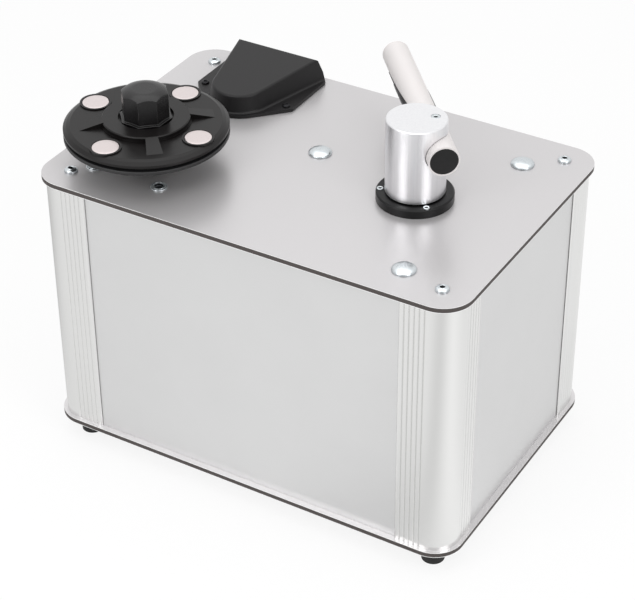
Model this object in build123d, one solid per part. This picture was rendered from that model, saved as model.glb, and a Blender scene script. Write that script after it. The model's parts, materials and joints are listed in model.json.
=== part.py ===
from build123d import *
import os
from math import cos, radians, sin, sqrt

# Vacuum record cleaning machine, in millimetres.
# Origin: centre of the footprint, on the surface that the feet stand on.
# +X is to the right and +Y to the back, seen from the front. +Z is up.
# "Deck" is the top plate that carries the platter, the suction arm and the exhaust cover.

# ---------------------------------------------------------------- driving dimensions

# Base plate and deck, of one composite sheet: a plastic core between two aluminium skins
PLATE_W = 335.0
PLATE_D = 225.0
PLATE_R = 22.0
PLATE_T = 4.0

# Cabinet
CABINET_H = 201.7
PROFILE_INSET = 2.85
PROFILE_R = 19.2
PROFILE_LEG = 41.0
PROFILE_WALL = 1.8
GROOVE_COUNT = 5
GROOVE_FIRST = 20.0
GROOVE_PITCH = 4.1
GROOVE_R = 1.0
GROOVE_DEPTH = 0.75
PANEL_T = 2.0
PANEL_CLEAR = 0.1
PANEL_SEAT = 7.0
LIP_T = 1.3
WEB_T = 2.4
BOSS_R = 5.5

# Corner screws and feet
CORNER_SCREW_INSET_X = 21.5
CORNER_SCREW_INSET_Y = 20.5
CORNER_HEAD_R = 4.8
CORNER_HEAD_H = 2.8
CORNER_HEAD_EDGE = 1.1
CORNER_SHANK_R = 2.5
CORNER_SHANK_L = 26.0
FOOT_H = 17.0
FOOT_R = 8.3
FOOT_RECESS_R = 5.4
FOOT_RECESS_H = 8.0

# Exhaust cover, placed from the left and back edges of the deck
COVER_FROM_LEFT = 71.2
COVER_NOSE_FROM_BACK = 60.5
COVER_MOUTH_FROM_BACK = 6.0
COVER_FLANGE_T = 2.6
COVER_FLANGE_HALF_W = 41.2
COVER_FLANGE_NOSE_R = 27.2
COVER_FLANGE_TANGENT = 43.4
COVER_FLANGE_FILLET = 4.0
COVER_NOSE_R = 25.0
COVER_FLARE = 14.3
COVER_DRAFT = 13.5
COVER_NOSE_H = 15.1
COVER_BACK_H = 19.1
COVER_WALL = 2.0
COVER_EDGE_R = 2.2
COVER_FOOT_R = 2.0
COVER_SCREW_SPREAD = 35.2
COVER_SCREW_BEHIND_NOSE = 5.3
COVER_SCREW_HEAD_R = 2.9
COVER_SCREW_HEAD_H = 1.9
COVER_SCREW_R = 1.45
COVER_SCREW_L = 9.0
EXHAUST_HOLE_R = 22.0

# Platter and its drive, placed from the left and front edges of the deck
SPINDLE_FROM_LEFT = 59.7
SPINDLE_FROM_FRONT = 60.4
PLATTER_R = 58.0
PLATTER_T = 2.8
PLATTER_RISE = 21.55
PLATTER_EDGE = 0.5
HUB_R = 12.5
HUB_H = 14.0
MAT_R = 54.5
MAT_T = 1.2
SHAFT_R = 5.0
SHAFT_DEPTH = 24.0
SPINDLE_R = 3.5
SPINDLE_RISE = 46.5
SPINDLE_EDGE = 1.0
MOTOR_SCREW_PITCH = 54.4
MOTOR_SCREW_HEAD_R = 5.7
MOTOR_SCREW_HEAD_H = 2.6
MOTOR_SCREW_EDGE = 0.5
MOTOR_SCREW_R = 2.5
MOTOR_SCREW_L = 7.5
MOTOR_PLATE_W = 70.0
MOTOR_PLATE_T = 3.0
GEARBOX_R = 30.0
GEARBOX_H = 26.0
BEARING_R = 9.0
BEARING_RISE = 3.0
MOTOR_CAN_R = 26.5
MOTOR_CAN_H = 46.0
MOTOR_TAIL_R = 8.0
MOTOR_TAIL_H = 3.0

# Clamp, with heights above the deck
CLAMP_TURN = -3.35
CLAMP_R = 58.0
CLAMP_RIM_Z = 26.8
CLAMP_RIM_H = 2.3
CLAMP_FACE_Z = 31.8
CLAMP_BEVEL_R = 55.5
CLAMP_BEVEL_Z = 30.9
CLAMP_SHOULDER_R = 53.0
CLAMP_RING_R = 31.0
CLAMP_RING_TOP = 35.6
CLAMP_RING_EDGE = 0.7
CLAMP_LEDGE_W = 0.9
CLAMP_LEDGE_H = 0.8
CLAMP_RECESS_R = 19.5
CLAMP_RECESS_Z = 33.2
RAMP_W = 8.6
RAMP_END_W = 11.4
RAMP_END_R = 47.5
RAMP_COUNT = 4
MAGNET_COUNT = 4
MAGNET_R = 9.5
MAGNET_CIRCLE_R = 45.0
MAGNET_TOP = 32.6
MAGNET_T = 3.0
MAGNET_LIP_W = 1.7
MAGNET_LIP_Z = 32.7
PAD_R = 54.0
KNOB_R = 17.1
KNOB_FACETS = 8
KNOB_HOLLOW = 0.55
KNOB_TOP_R = 7.7
KNOB_TOP = 57.4
KNOB_SHOULDER = 51.9
KNOB_SHOULDER_OUT = 0.2
KNOB_CROWN_R = 12.6
KNOB_CROWN_Z = 55.2
KNOB_FLANGE_W = 1.2
KNOB_FLANGE_T = 1.1
INSERT_R = 6.5
INSERT_TOP = 48.0
CLAMP_SEAT_GAP = 0.1

# Suction arm: its post stands on the deck, and its tube lies level beside the post axis.
# Lengths along the tube are measured from the post axis, and are positive to the tip.
POST_FROM_RIGHT = 89.0
POST_FORWARD = 3.4
POST_R = 20.9
POST_RISE = 7.65
POST_TOP = 62.5
POST_EDGE = 0.6
ARM_TURN = 40.7
ARM_OFFSET = 12.8
ARM_RISE = 43.5
ARM_HOLE_R = 11.4
TUBE_R = 9.8
TUBE_WALL = 1.4
TUBE_TIP = 126.7
TUBE_TAIL = -27.6
SLEEVE_R = 10.9
SLEEVE_END = 18.0
PLUG_R = 9.8
PLUG_L = 6.0
PLUG_RECESS = 0.3
SLOT_W = 2.6
SLOT_START = 40.0
SLOT_END = 104.0
PORT_R = 4.2
PORT_X = 8.0
SHOE_T = 0.4
SHOE_START = 30.0
SHOE_END = 106.5
SHOE_HIGH = 6.0
SHOE_LOW = -3.6
STRIP_HALF_W = 6.3
STRIP_DEPTH = 15.1
SET_SCREW_R = 2.6
SET_SCREW_RECESS_R = 3.3
SET_SCREW_RECESS = 0.7
RING_R = 27.0
RING_H = 6.55
RING_BORE_R = 15.3
RING_EDGE = 1.0
RING_SCREW_CIRCLE_R = 23.9
RING_SCREW_ANGLES = (-155.0, -43.5, 81.0)
RING_SCREW_HEAD_R = 2.3
RING_SCREW_HEAD_H = 2.0
RING_SCREW_EDGE = 0.4
RING_SCREW_SINK = 1.5
RING_SCREW_SHANK_R = 1.2
RING_SCREW_L = 7.5
STEM_R = 12.0
STEM_BORE_R = 8.5
STEM_TOP = 28.0
STEM_BOTTOM = -34.0
COLLAR_R = 14.4
COLLAR_T = 2.5
BUSH_SLEEVE_R = 15.1
BUSH_FLANGE_R = 21.5
BUSH_FLANGE_T = 2.6
BUSH_TOP = -2.0
BUSH_BOTTOM = -20.0
SPRING_WIRE_W = 1.6
SPRING_WIRE_H = 0.8
SPRING_TURNS = 2.5
SPRING_STEPS = 30

# Fluid tank, hung under the deck below the arm post
TANK_BOLT_CIRCLE_R = 88.3
TANK_BOLT_ANGLES = (167.5, 60.0, -66.3)
TANK_BOLT_HEAD_R = 8.45
TANK_BOLT_HEAD_H = 3.6
TANK_BOLT_R = 2.9
TANK_BOLT_L = 19.0
NUT_AF = 10.0
NUT_H = 5.0
TANK_R = 75.0
TANK_H = 100.0
TANK_WALL = 2.5
TANK_FLANGE_T = 4.0
LID_T = 3.0
EAR_R = 9.0
HOSE_DROP = 38.0
HOSE_FROM_VAC = 30.0
HOSE_GAP = 2.0
HOSE_BORE_R = 11.9
HOSE_WALL = 2.0
HOSE_BEND_R = 16.5
HOSE_OVERLAP = 9.0
STUB_WALL = 1.8
DRAIN_RISE = 9.0
DRAIN_R = 5.0
DRAIN_BORE_R = 3.0
ELBOW_R = 6.5
ELBOW_SOCKET_R = 3.9
ELBOW_SOCKET_H = 12.0
LEVEL_TUBE_R = 3.0
LEVEL_TUBE_BORE_R = 2.0
LEVEL_TUBE_H = 73.0
CLIP_H = 5.0
CLIP_DROP = 14.0
CLIP_HALF_W = 4.6
STOPPER_R = 3.4
STOPPER_H = 5.0
STOPPER_PIN_L = 7.0

# Vacuum unit, standing on the base plate under the exhaust cover
VAC_BEHIND_NOSE = 2.0
PLENUM_W = 90.0
PLENUM_BACK = 30.0
PLENUM_FRONT_MARGIN = 20.0
PLENUM_H = 28.0
PLENUM_WALL = 2.5
PLENUM_CORNER_R = 14.0
PLENUM_HOLE_R = 18.0
SHROUD_R = 48.0
SHROUD_H = 34.0
SHROUD_WALL = 1.5
IMPELLER_R = 43.0
IMPELLER_Z = 6.0
IMPELLER_PLATE_T = 1.5
BLADE_COUNT = 8
BLADE_H = 12.0
BLADE_T = 1.2
BLADE_ROOT_R = 17.0
BLADE_TURN = 50.0
BLADE_TURN_MIDWAY = 18.0
VAC_HUB_R = 8.0
VAC_SHAFT_R = 4.0
FRAME_R = 40.0
FRAME_H = 62.0
FRAME_WALL = 3.0
FIELD_BORE_R = 22.0
FIELD_Z = 14.0
FIELD_H = 30.0
ARMATURE_R = 21.2
COMMUTATOR_R = 10.0
COMMUTATOR_H = 8.0
BRIDGE_T = 4.0
BRIDGE_W = 12.0
DUCT_WALL = 2.0
DUCT_COLLAR_H = 8.0

# Electrics
INLET_X = 0.0
INLET_Z = 60.0
INLET_FLANGE_W = 31.0
INLET_FLANGE_H = 38.0
INLET_FLANGE_T = 2.4
INLET_BODY_W = 27.0
INLET_BODY_H = 33.0
INLET_BODY_L = 24.0
SOCKET_W = 23.0
SOCKET_H = 15.5
SOCKET_L = 16.0
SOCKET_CORNER = 4.0
SOCKET_DROP = 6.0
DRAWER_W = 20.0
DRAWER_H = 7.0
DRAWER_L = 15.0
DRAWER_RISE = 10.0
DRAWER_LIP = 1.2
DRAWER_CLEAR = 0.25
PIN_W = 4.0
PIN_T = 2.0
PIN_L = 14.0
PIN_SPREAD = 7.0
PIN_STEP = 4.0
SWITCH_INSET = 14.65
SWITCH_PITCH = 25.0
SWITCH_Z = 180.0
BEZEL_W = 15.0
BEZEL_H = 21.0
BEZEL_T = 1.8
SWITCH_BODY_W = 12.8
SWITCH_BODY_H = 18.8
SWITCH_BODY_L = 15.0
ROCKER_W = 9.8
ROCKER_R = 7.6
ROCKER_PROUD = 1.6
ROCKER_DEPTH = 3.0
ROCKER_CLEAR = 0.35
ROCKER_FOLD = 8.0
BOARD_FORWARD = 8.6
BOARD_W = 84.0
BOARD_D = 56.0
BOARD_T = 1.6
STANDOFF_H = 7.0
STANDOFF_R = 3.0
STANDOFF_INSET = 4.5
TRANSFORMER_W = 38.0
TRANSFORMER_D = 32.0
TRANSFORMER_H = 26.0
TERMINAL_W = 24.0
TERMINAL_D = 8.0
TERMINAL_H = 11.0

# Clearances
RUN_CLEAR = 0.05
HOLE_CLEAR = 0.25
SEAT_CLEAR = 0.1

# ---------------------------------------------------------------- derived places

BASE_TOP = FOOT_H + PLATE_T
DECK_UNDER = BASE_TOP + CABINET_H
DECK = DECK_UNDER + PLATE_T

OUT_X = PLATE_W / 2 - PROFILE_INSET
OUT_Y = PLATE_D / 2 - PROFILE_INSET
SLOT_T = PANEL_T + 2 * PANEL_CLEAR
PANEL_FACE_X = OUT_X - PROFILE_WALL - PANEL_CLEAR
PANEL_FACE_Y = OUT_Y - PROFILE_WALL - PANEL_CLEAR
PANEL_EDGE = PROFILE_LEG - PANEL_SEAT + PANEL_CLEAR

CORNER_SCREW_X = PLATE_W / 2 - CORNER_SCREW_INSET_X
CORNER_SCREW_Y = PLATE_D / 2 - CORNER_SCREW_INSET_Y
COVER_X = COVER_FROM_LEFT - PLATE_W / 2
COVER_NOSE_Y = PLATE_D / 2 - COVER_NOSE_FROM_BACK
COVER_BACK_Y = PLATE_D / 2 - COVER_MOUTH_FROM_BACK
COVER_SCREW_Y = COVER_NOSE_Y + COVER_SCREW_BEHIND_NOSE
VAC_Y = COVER_NOSE_Y + VAC_BEHIND_NOSE
SPINDLE_X = SPINDLE_FROM_LEFT - PLATE_W / 2
SPINDLE_Y = SPINDLE_FROM_FRONT - PLATE_D / 2
POST_X = PLATE_W / 2 - POST_FROM_RIGHT
POST_Y = -POST_FORWARD
FIRST_SWITCH_Y = PROFILE_LEG - OUT_Y + SWITCH_INSET
SWITCH_YS = (FIRST_SWITCH_Y, FIRST_SWITCH_Y + SWITCH_PITCH)

COVER_SCREWS = tuple((COVER_X + side * COVER_SCREW_SPREAD, COVER_SCREW_Y) for side in (-1, 1))
CORNERS = tuple((sx, sy) for sx in (-1, 1) for sy in (-1, 1))
CORNER_SCREWS = tuple((sx * CORNER_SCREW_X, sy * CORNER_SCREW_Y) for sx, sy in CORNERS)
MOTOR_SCREWS = tuple(
    (SPINDLE_X + sx * MOTOR_SCREW_PITCH / 2, SPINDLE_Y + sy * MOTOR_SCREW_PITCH / 2)
    for sx, sy in CORNERS
)


def around_post(r, angles):
    """Points on a circle about the post, at angles from +X in degrees."""
    return tuple((POST_X + r * cos(radians(a)), POST_Y + r * sin(radians(a))) for a in angles)


RING_SCREWS = around_post(RING_SCREW_CIRCLE_R, RING_SCREW_ANGLES)
TANK_BOLTS = around_post(TANK_BOLT_CIRCLE_R, TANK_BOLT_ANGLES)

PLATTER_Z = DECK + PLATTER_RISE
PLATTER_TOP = PLATTER_Z + PLATTER_T
MAT_TOP = PLATTER_TOP + MAT_T
GEARBOX_TOP = DECK_UNDER - MOTOR_PLATE_T
GEARBOX_BOTTOM = GEARBOX_TOP - GEARBOX_H

TUBE_Z = DECK + ARM_RISE
TUBE_BORE_R = TUBE_R - TUBE_WALL
POST_BOTTOM = DECK + POST_RISE
COLLAR_TOP = POST_BOTTOM - SEAT_CLEAR
COLLAR_BOTTOM = COLLAR_TOP - COLLAR_T
SPRING_SEAT = DECK + BUSH_TOP
ARM_PLACE = Pos(POST_X, POST_Y, 0) * Rot(0, 0, ARM_TURN)

LID_BOTTOM = DECK_UNDER - LID_T
TANK_BOTTOM = LID_BOTTOM - TANK_H
HOSE_TOP_Z = LID_BOTTOM - HOSE_DROP
STUB_R = HOSE_BORE_R - SEAT_CLEAR
HOSE_R = HOSE_BORE_R + HOSE_WALL
HOSE_X = COVER_X + HOSE_FROM_VAC
HOSE_Y = VAC_Y - SHROUD_R - HOSE_GAP - HOSE_R
HOSE_REACH_Y = max(0, abs(HOSE_Y - POST_Y) - HOSE_R)
HOSE_START_X = POST_X - sqrt(TANK_R**2 - HOSE_REACH_Y**2) - SEAT_CLEAR
DRAIN_X = POST_X
DRAIN_Z = TANK_BOTTOM + DRAIN_RISE
LEVEL_TUBE_Y = PANEL_FACE_Y + ELBOW_SOCKET_R
LEVEL_TUBE_Z = DRAIN_Z + ELBOW_SOCKET_H / 2
LEVEL_TUBE_TOP = LEVEL_TUBE_Z + LEVEL_TUBE_H

PLENUM_TOP = BASE_TOP + PLENUM_H
HOSE_BOTTOM_Z = PLENUM_TOP + SEAT_CLEAR
SHROUD_TOP = PLENUM_TOP + SHROUD_H
FRAME_TOP = SHROUD_TOP + FRAME_H
DUCT_Z = FRAME_TOP - DUCT_COLLAR_H

# ---------------------------------------------------------------- small helpers


def rect(x0, y0, x1, y1):
    """Rectangle between two opposite corners."""
    return Pos((x0 + x1) / 2, (y0 + y1) / 2) * Rectangle(abs(x1 - x0), abs(y1 - y0))


def slab(sketch, z0, z1):
    """Upright prism of a sketch between two heights."""
    return Pos(0, 0, z0) * extrude(sketch, z1 - z0)


def block(x0, y0, z0, x1, y1, z1):
    """Box between two opposite corners."""
    return slab(rect(x0, y0, x1, y1), z0, z1)


def rod(x, y, r, z0, z1):
    """Upright cylinder."""
    return Pos(x, y, (z0 + z1) / 2) * Cylinder(r, z1 - z0)


def pipe(x, y, r_out, r_in, z0, z1):
    """Upright tube."""
    return rod(x, y, r_out, z0, z1) - rod(x, y, r_in, z0, z1)


def rod_x(x0, x1, y, z, r):
    """Cylinder along X."""
    return Pos((x0 + x1) / 2, y, z) * Rot(0, 90, 0) * Cylinder(r, x1 - x0)


def rod_y(x, y0, y1, z, r):
    """Cylinder along Y."""
    return Pos(x, (y0 + y1) / 2, z) * Rot(90, 0, 0) * Cylinder(r, y1 - y0)


def turned(points):
    """Solid of revolution about Z from a closed outline of (radius, height) points."""
    outline = Polyline(*[(r, 0, z) for r, z in points], close=True)
    return revolve(make_face(outline), Axis.Z)


def prism_y(points, y0, y1):
    """Prism along Y of a closed outline of (x, z) points."""
    outline = make_face(Polyline(*[(x, y0, z) for x, z in points], close=True))
    return extrude(outline, y1 - y0, dir=(0, 1, 0))


def hexagon(af, z0, z1):
    """Hexagonal prism of a given width across flats."""
    return slab(RegularPolygon(af / 2, 6, major_radius=False), z0, z1)


def cap_screw(head_r, head_h, shank_r, shank_l, edge):
    """Screw that points down, with the underside of its bevelled head at height 0."""
    head = chamfer(Cylinder(head_r, head_h).edges().group_by(Axis.Z)[-1], edge)
    return Pos(0, 0, head_h / 2) * head + rod(0, 0, shank_r, -shank_l, 0)


def domed_screw(head_r, head_h, shank_r, shank_l):
    """Round-headed screw that points down, with the underside of its head at height 0."""
    ball_r = (head_r**2 + head_h**2) / (2 * head_h)
    cap = Pos(0, 0, head_h - ball_r) * Sphere(ball_r) & rod(0, 0, head_r, 0, head_h)
    return cap + rod(0, 0, shank_r, -shank_l, 0)


def copies(shape, places, z):
    """The same piece at each (x, y) of a list."""
    return [Pos(x, y, z) * shape for x, y in places]


# ---------------------------------------------------------------- plates and cabinet


def plate_outline():
    return RectangleRounded(PLATE_W, PLATE_D, PLATE_R)


def deck_holes():
    """Every hole through the deck, as one sketch."""
    holes = Pos(SPINDLE_X, SPINDLE_Y) * Circle(BEARING_R + HOLE_CLEAR)
    holes += Pos(POST_X, POST_Y) * Circle(RING_BORE_R)
    holes += Pos(COVER_X, VAC_Y) * Circle(EXHAUST_HOLE_R)
    patterns = (
        (CORNER_SCREWS, CORNER_SHANK_R),
        (MOTOR_SCREWS, MOTOR_SCREW_R),
        (TANK_BOLTS, TANK_BOLT_R),
        (COVER_SCREWS, COVER_SCREW_R),
        (RING_SCREWS, RING_SCREW_SHANK_R),
    )
    for places, r in patterns:
        for x, y in places:
            holes += Pos(x, y) * Circle(r + HOLE_CLEAR)
    return holes


def base_holes():
    holes = Sketch()
    for x, y in CORNER_SCREWS:
        holes += Pos(x, y) * Circle(CORNER_SHANK_R + HOLE_CLEAR)
    return holes


def leg_rect(side, u0, v0, u1, v1):
    """Rectangle on a leg of the rear right profile: u runs from the corner along the leg,
    v from its outer face inwards. Side 0 is the leg along X, side 1 the leg along Y."""
    if side == 0:
        return rect(OUT_X - u0, OUT_Y - v0, OUT_X - u1, OUT_Y - v1)
    return rect(OUT_X - v0, OUT_Y - u0, OUT_X - v1, OUT_Y - u1)


def rounded_corner_square(reach, r):
    """Square that ends at (reach_x, reach_y) with that one corner rounded."""
    x1, y1 = OUT_X - reach, OUT_Y - reach
    square = rect(x1 - PROFILE_LEG, y1 - PROFILE_LEG, x1, y1)
    corner = square.vertices().sort_by(lambda v: v.X + v.Y)[-1]
    return fillet(corner, r)


def profile_section():
    """Section of the rear right corner profile: two grooved legs round a curved corner,
    a slot along each leg's end for the panel, and a screw boss on a web."""
    band = rounded_corner_square(0, PROFILE_R)
    band -= rounded_corner_square(PROFILE_WALL, PROFILE_R - PROFILE_WALL)
    slot_start = PROFILE_LEG - PANEL_SEAT
    lip_depth = PROFILE_WALL + SLOT_T
    for side in (0, 1):
        band += leg_rect(side, slot_start - LIP_T, 0, slot_start, lip_depth + LIP_T)
        band += leg_rect(side, slot_start - LIP_T, lip_depth, PROFILE_LEG, lip_depth + LIP_T)
    arc_centre = Vector(OUT_X - PROFILE_R, OUT_Y - PROFILE_R)
    web_end = arc_centre + Vector(1, 1).normalized() * (PROFILE_R - PROFILE_WALL / 2)
    web = Line(Vector(CORNER_SCREW_X, CORNER_SCREW_Y), web_end)
    band += Pos(web @ 0.5) * Rot(0, 0, 45) * Rectangle(web.length, WEB_T)
    band += Pos(CORNER_SCREW_X, CORNER_SCREW_Y) * Circle(BOSS_R)
    band -= Pos(CORNER_SCREW_X, CORNER_SCREW_Y) * Circle(CORNER_SHANK_R + RUN_CLEAR)
    for i in range(GROOVE_COUNT):
        u = GROOVE_FIRST + i * GROOVE_PITCH
        out = GROOVE_R - GROOVE_DEPTH
        band -= Pos(OUT_X - u, OUT_Y + out) * Circle(GROOVE_R)
        band -= Pos(OUT_X + out, OUT_Y - u) * Circle(GROOVE_R)
    return band


def corner_profile(sx, sy):
    profile = slab(profile_section(), BASE_TOP, DECK_UNDER)
    if sx < 0:
        profile = mirror(profile, about=Plane.YZ)
    if sy < 0:
        profile = mirror(profile, about=Plane.XZ)
    return profile


def panel_x(side):
    """Left or right panel."""
    half = OUT_Y - PANEL_EDGE
    x0, x1 = sorted((side * PANEL_FACE_X, side * (PANEL_FACE_X - PANEL_T)))
    return block(x0, -half, BASE_TOP + PANEL_CLEAR, x1, half, DECK_UNDER - PANEL_CLEAR)


def panel_y(side):
    """Front or rear panel."""
    half = OUT_X - PANEL_EDGE
    y0, y1 = sorted((side * PANEL_FACE_Y, side * (PANEL_FACE_Y - PANEL_T)))
    return block(-half, y0, BASE_TOP + PANEL_CLEAR, half, y1, DECK_UNDER - PANEL_CLEAR)


def left_panel():
    panel = panel_x(-1)
    half_w = SWITCH_BODY_W / 2 + SEAT_CLEAR
    half_h = SWITCH_BODY_H / 2 + SEAT_CLEAR
    for y in SWITCH_YS:
        panel -= block(-OUT_X, y - half_w, SWITCH_Z - half_h, 0, y + half_w, SWITCH_Z + half_h)
    return panel


def rear_panel():
    half_w = INLET_BODY_W / 2 + SEAT_CLEAR
    half_h = INLET_BODY_H / 2 + SEAT_CLEAR
    x0, x1 = INLET_X - half_w, INLET_X + half_w
    panel = panel_y(1) - block(x0, 0, INLET_Z - half_h, x1, OUT_Y, INLET_Z + half_h)
    return panel - rod_y(DRAIN_X, 0, OUT_Y, DRAIN_Z, DRAIN_R + HOLE_CLEAR)


def foot():
    body = rod(0, 0, FOOT_R, 0, FOOT_H)
    body -= rod(0, 0, FOOT_RECESS_R, 0, FOOT_RECESS_H)
    return body - rod(0, 0, CORNER_SHANK_R + HOLE_CLEAR, 0, FOOT_H)


def corner_screw():
    return cap_screw(
        CORNER_HEAD_R, CORNER_HEAD_H, CORNER_SHANK_R, CORNER_SHANK_L, CORNER_HEAD_EDGE
    )


# ---------------------------------------------------------------- exhaust cover


def cover_flange_outline():
    """Flange about (0, 0): straight sides, slanted front corners and a round nose."""
    a = radians(-COVER_FLANGE_TANGENT)
    tangent_x = COVER_FLANGE_NOSE_R * cos(a)
    tangent_y = COVER_NOSE_Y + COVER_FLANGE_NOSE_R * sin(a)
    ear_y = tangent_y + (COVER_FLANGE_HALF_W - tangent_x) * cos(a) / -sin(a)
    half = [
        (COVER_FLANGE_HALF_W, COVER_BACK_Y),
        (COVER_FLANGE_HALF_W, ear_y),
        (tangent_x, tangent_y),
    ]
    other = [(-x, y) for x, y in reversed(half)]
    outline = make_face(Polyline(*half, *other, close=True))
    ears = [v for v in outline.vertices() if abs(v.X) > COVER_FLANGE_HALF_W - SEAT_CLEAR]
    outline = fillet(ears, COVER_FLANGE_FILLET)
    return outline + Pos(0, COVER_NOSE_Y) * Circle(COVER_FLANGE_NOSE_R)


def hood_outline(inset):
    """Hood about (0, 0): round nose, and sides that leave it at a tangent and flare to the back."""
    r = COVER_NOSE_R - inset
    flare = radians(COVER_FLARE)
    start = (r * cos(flare), COVER_NOSE_Y - r * sin(flare))
    end_y = COVER_BACK_Y + COVER_WALL
    end = (start[0] + (end_y - start[1]) * sin(flare) / cos(flare), end_y)
    sides = Polyline(start, end, (-end[0], end_y), (-start[0], start[1]), close=True)
    return make_face(sides) + Pos(0, COVER_NOSE_Y) * Circle(r)


def hood(inset):
    """Tapered hood with a flat top that rises to the back."""
    body = extrude(hood_outline(inset), COVER_BACK_H * 2, taper=COVER_DRAFT)
    nose_front = COVER_NOSE_Y - COVER_NOSE_R
    slope = (COVER_BACK_H - COVER_NOSE_H) / (COVER_BACK_Y - nose_front)
    half_w = COVER_FLANGE_HALF_W
    y0, y1 = nose_front - COVER_WALL, COVER_BACK_Y + 2 * COVER_WALL
    z0 = COVER_NOSE_H - inset + slope * (y0 - nose_front)
    z1 = COVER_NOSE_H - inset + slope * (y1 - nose_front)
    x = -half_w
    side = make_face(Polyline((x, y0, z0), (x, y1, z1), (x, y1, 0), (x, y0, 0), close=True))
    return body & extrude(side, 2 * half_w, dir=(1, 0, 0))


def exhaust_cover():
    """Moulded cover: a hollow hood, open at the back, on a screwed flange."""
    shell = hood(0)
    high = [e for e in shell.edges() if (e @ 0.5).Z > COVER_NOSE_H - COVER_EDGE_R]
    crown = [e for e in high if (e @ 0.5).Y < COVER_BACK_Y]
    shell = fillet(crown, COVER_EDGE_R)
    half_w = COVER_FLANGE_HALF_W
    behind = COVER_BACK_Y + 2 * COVER_WALL
    shell -= block(-half_w, COVER_BACK_Y, 0, half_w, behind, 2 * COVER_BACK_H)
    cover = extrude(cover_flange_outline(), COVER_FLANGE_T) + shell
    foot = hood_outline(0).face()
    on_flange = [e for e in cover.edges() if abs((e @ 0.5).Z - COVER_FLANGE_T) < SEAT_CLEAR]
    foot_edges = [e for e in on_flange if foot.is_inside(Vector((e @ 0.5).X, (e @ 0.5).Y, 0))]
    foot_edges = [e for e in foot_edges if (e @ 0.5).Y < COVER_BACK_Y - COVER_WALL]
    cover = fillet(foot_edges, COVER_FOOT_R)
    cover -= hood(COVER_WALL)
    for side in (-1, 1):
        x = side * COVER_SCREW_SPREAD
        cover -= rod(x, COVER_SCREW_Y, COVER_SCREW_R + HOLE_CLEAR, 0, COVER_FLANGE_T)
    return Pos(COVER_X, 0, DECK) * cover


def cover_screw():
    return domed_screw(COVER_SCREW_HEAD_R, COVER_SCREW_HEAD_H, COVER_SCREW_R, COVER_SCREW_L)


# ---------------------------------------------------------------- platter and drive


def platter():
    disc = Cylinder(PLATTER_R, PLATTER_T)
    disc = Pos(0, 0, PLATTER_T / 2) * chamfer(disc.edges(), PLATTER_EDGE)
    disc += rod(0, 0, HUB_R, -HUB_H, 0)
    disc -= rod(0, 0, SHAFT_R, -HUB_H, PLATTER_T)
    return Pos(SPINDLE_X, SPINDLE_Y, PLATTER_Z) * disc


def platter_mat():
    return pipe(SPINDLE_X, SPINDLE_Y, MAT_R, SHAFT_R, PLATTER_TOP, MAT_TOP)


def spindle():
    """Output shaft of the gearbox, with a thinner threaded pin for the record above the platter."""
    tip_z = DECK + SPINDLE_RISE
    outline = [
        (0, DECK - SHAFT_DEPTH),
        (SHAFT_R, DECK - SHAFT_DEPTH),
        (SHAFT_R, PLATTER_TOP),
        (SPINDLE_R, PLATTER_TOP),
        (SPINDLE_R, tip_z - SPINDLE_EDGE),
        (SPINDLE_R - SPINDLE_EDGE, tip_z),
        (0, tip_z),
    ]
    return Pos(SPINDLE_X, SPINDLE_Y, 0) * turned(outline)


def motor_screw():
    return cap_screw(
        MOTOR_SCREW_HEAD_R, MOTOR_SCREW_HEAD_H, MOTOR_SCREW_R, MOTOR_SCREW_L, MOTOR_SCREW_EDGE
    )


def motor_plate():
    """Square steel plate that carries the gearbox under the deck."""
    outline = Pos(SPINDLE_X, SPINDLE_Y) * RectangleRounded(
        MOTOR_PLATE_W, MOTOR_PLATE_W, MOTOR_SCREW_HEAD_R
    )
    outline -= Pos(SPINDLE_X, SPINDLE_Y) * Circle(BEARING_R + HOLE_CLEAR)
    for x, y in MOTOR_SCREWS:
        outline -= Pos(x, y) * Circle(MOTOR_SCREW_R + RUN_CLEAR)
    return slab(outline, GEARBOX_TOP, DECK_UNDER)


def gearbox():
    """Round gearbox whose bearing boss rises through the deck."""
    body = rod(SPINDLE_X, SPINDLE_Y, GEARBOX_R, GEARBOX_BOTTOM, GEARBOX_TOP)
    body += rod(SPINDLE_X, SPINDLE_Y, BEARING_R, GEARBOX_TOP, DECK + BEARING_RISE)
    floor = DECK - SHAFT_DEPTH - HOLE_CLEAR
    return body - rod(SPINDLE_X, SPINDLE_Y, SHAFT_R + RUN_CLEAR, floor, DECK + BEARING_RISE)


def gearmotor_can():
    can_bottom = GEARBOX_BOTTOM - MOTOR_CAN_H
    can = Cylinder(MOTOR_CAN_R, MOTOR_CAN_H)
    can = chamfer(can.edges().group_by(Axis.Z)[0], MOTOR_TAIL_H)
    can = Pos(SPINDLE_X, SPINDLE_Y, can_bottom + MOTOR_CAN_H / 2) * can
    return can + rod(SPINDLE_X, SPINDLE_Y, MOTOR_TAIL_R, can_bottom - MOTOR_TAIL_H, can_bottom)


# ---------------------------------------------------------------- clamp


def on_clamp(shape):
    """Place a clamp piece, modelled about its own axis with heights above the deck."""
    return Pos(SPINDLE_X, SPINDLE_Y, DECK) * Rot(0, 0, CLAMP_TURN) * shape


def magnet_places():
    return PolarLocations(MAGNET_CIRCLE_R, MAGNET_COUNT)


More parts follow.
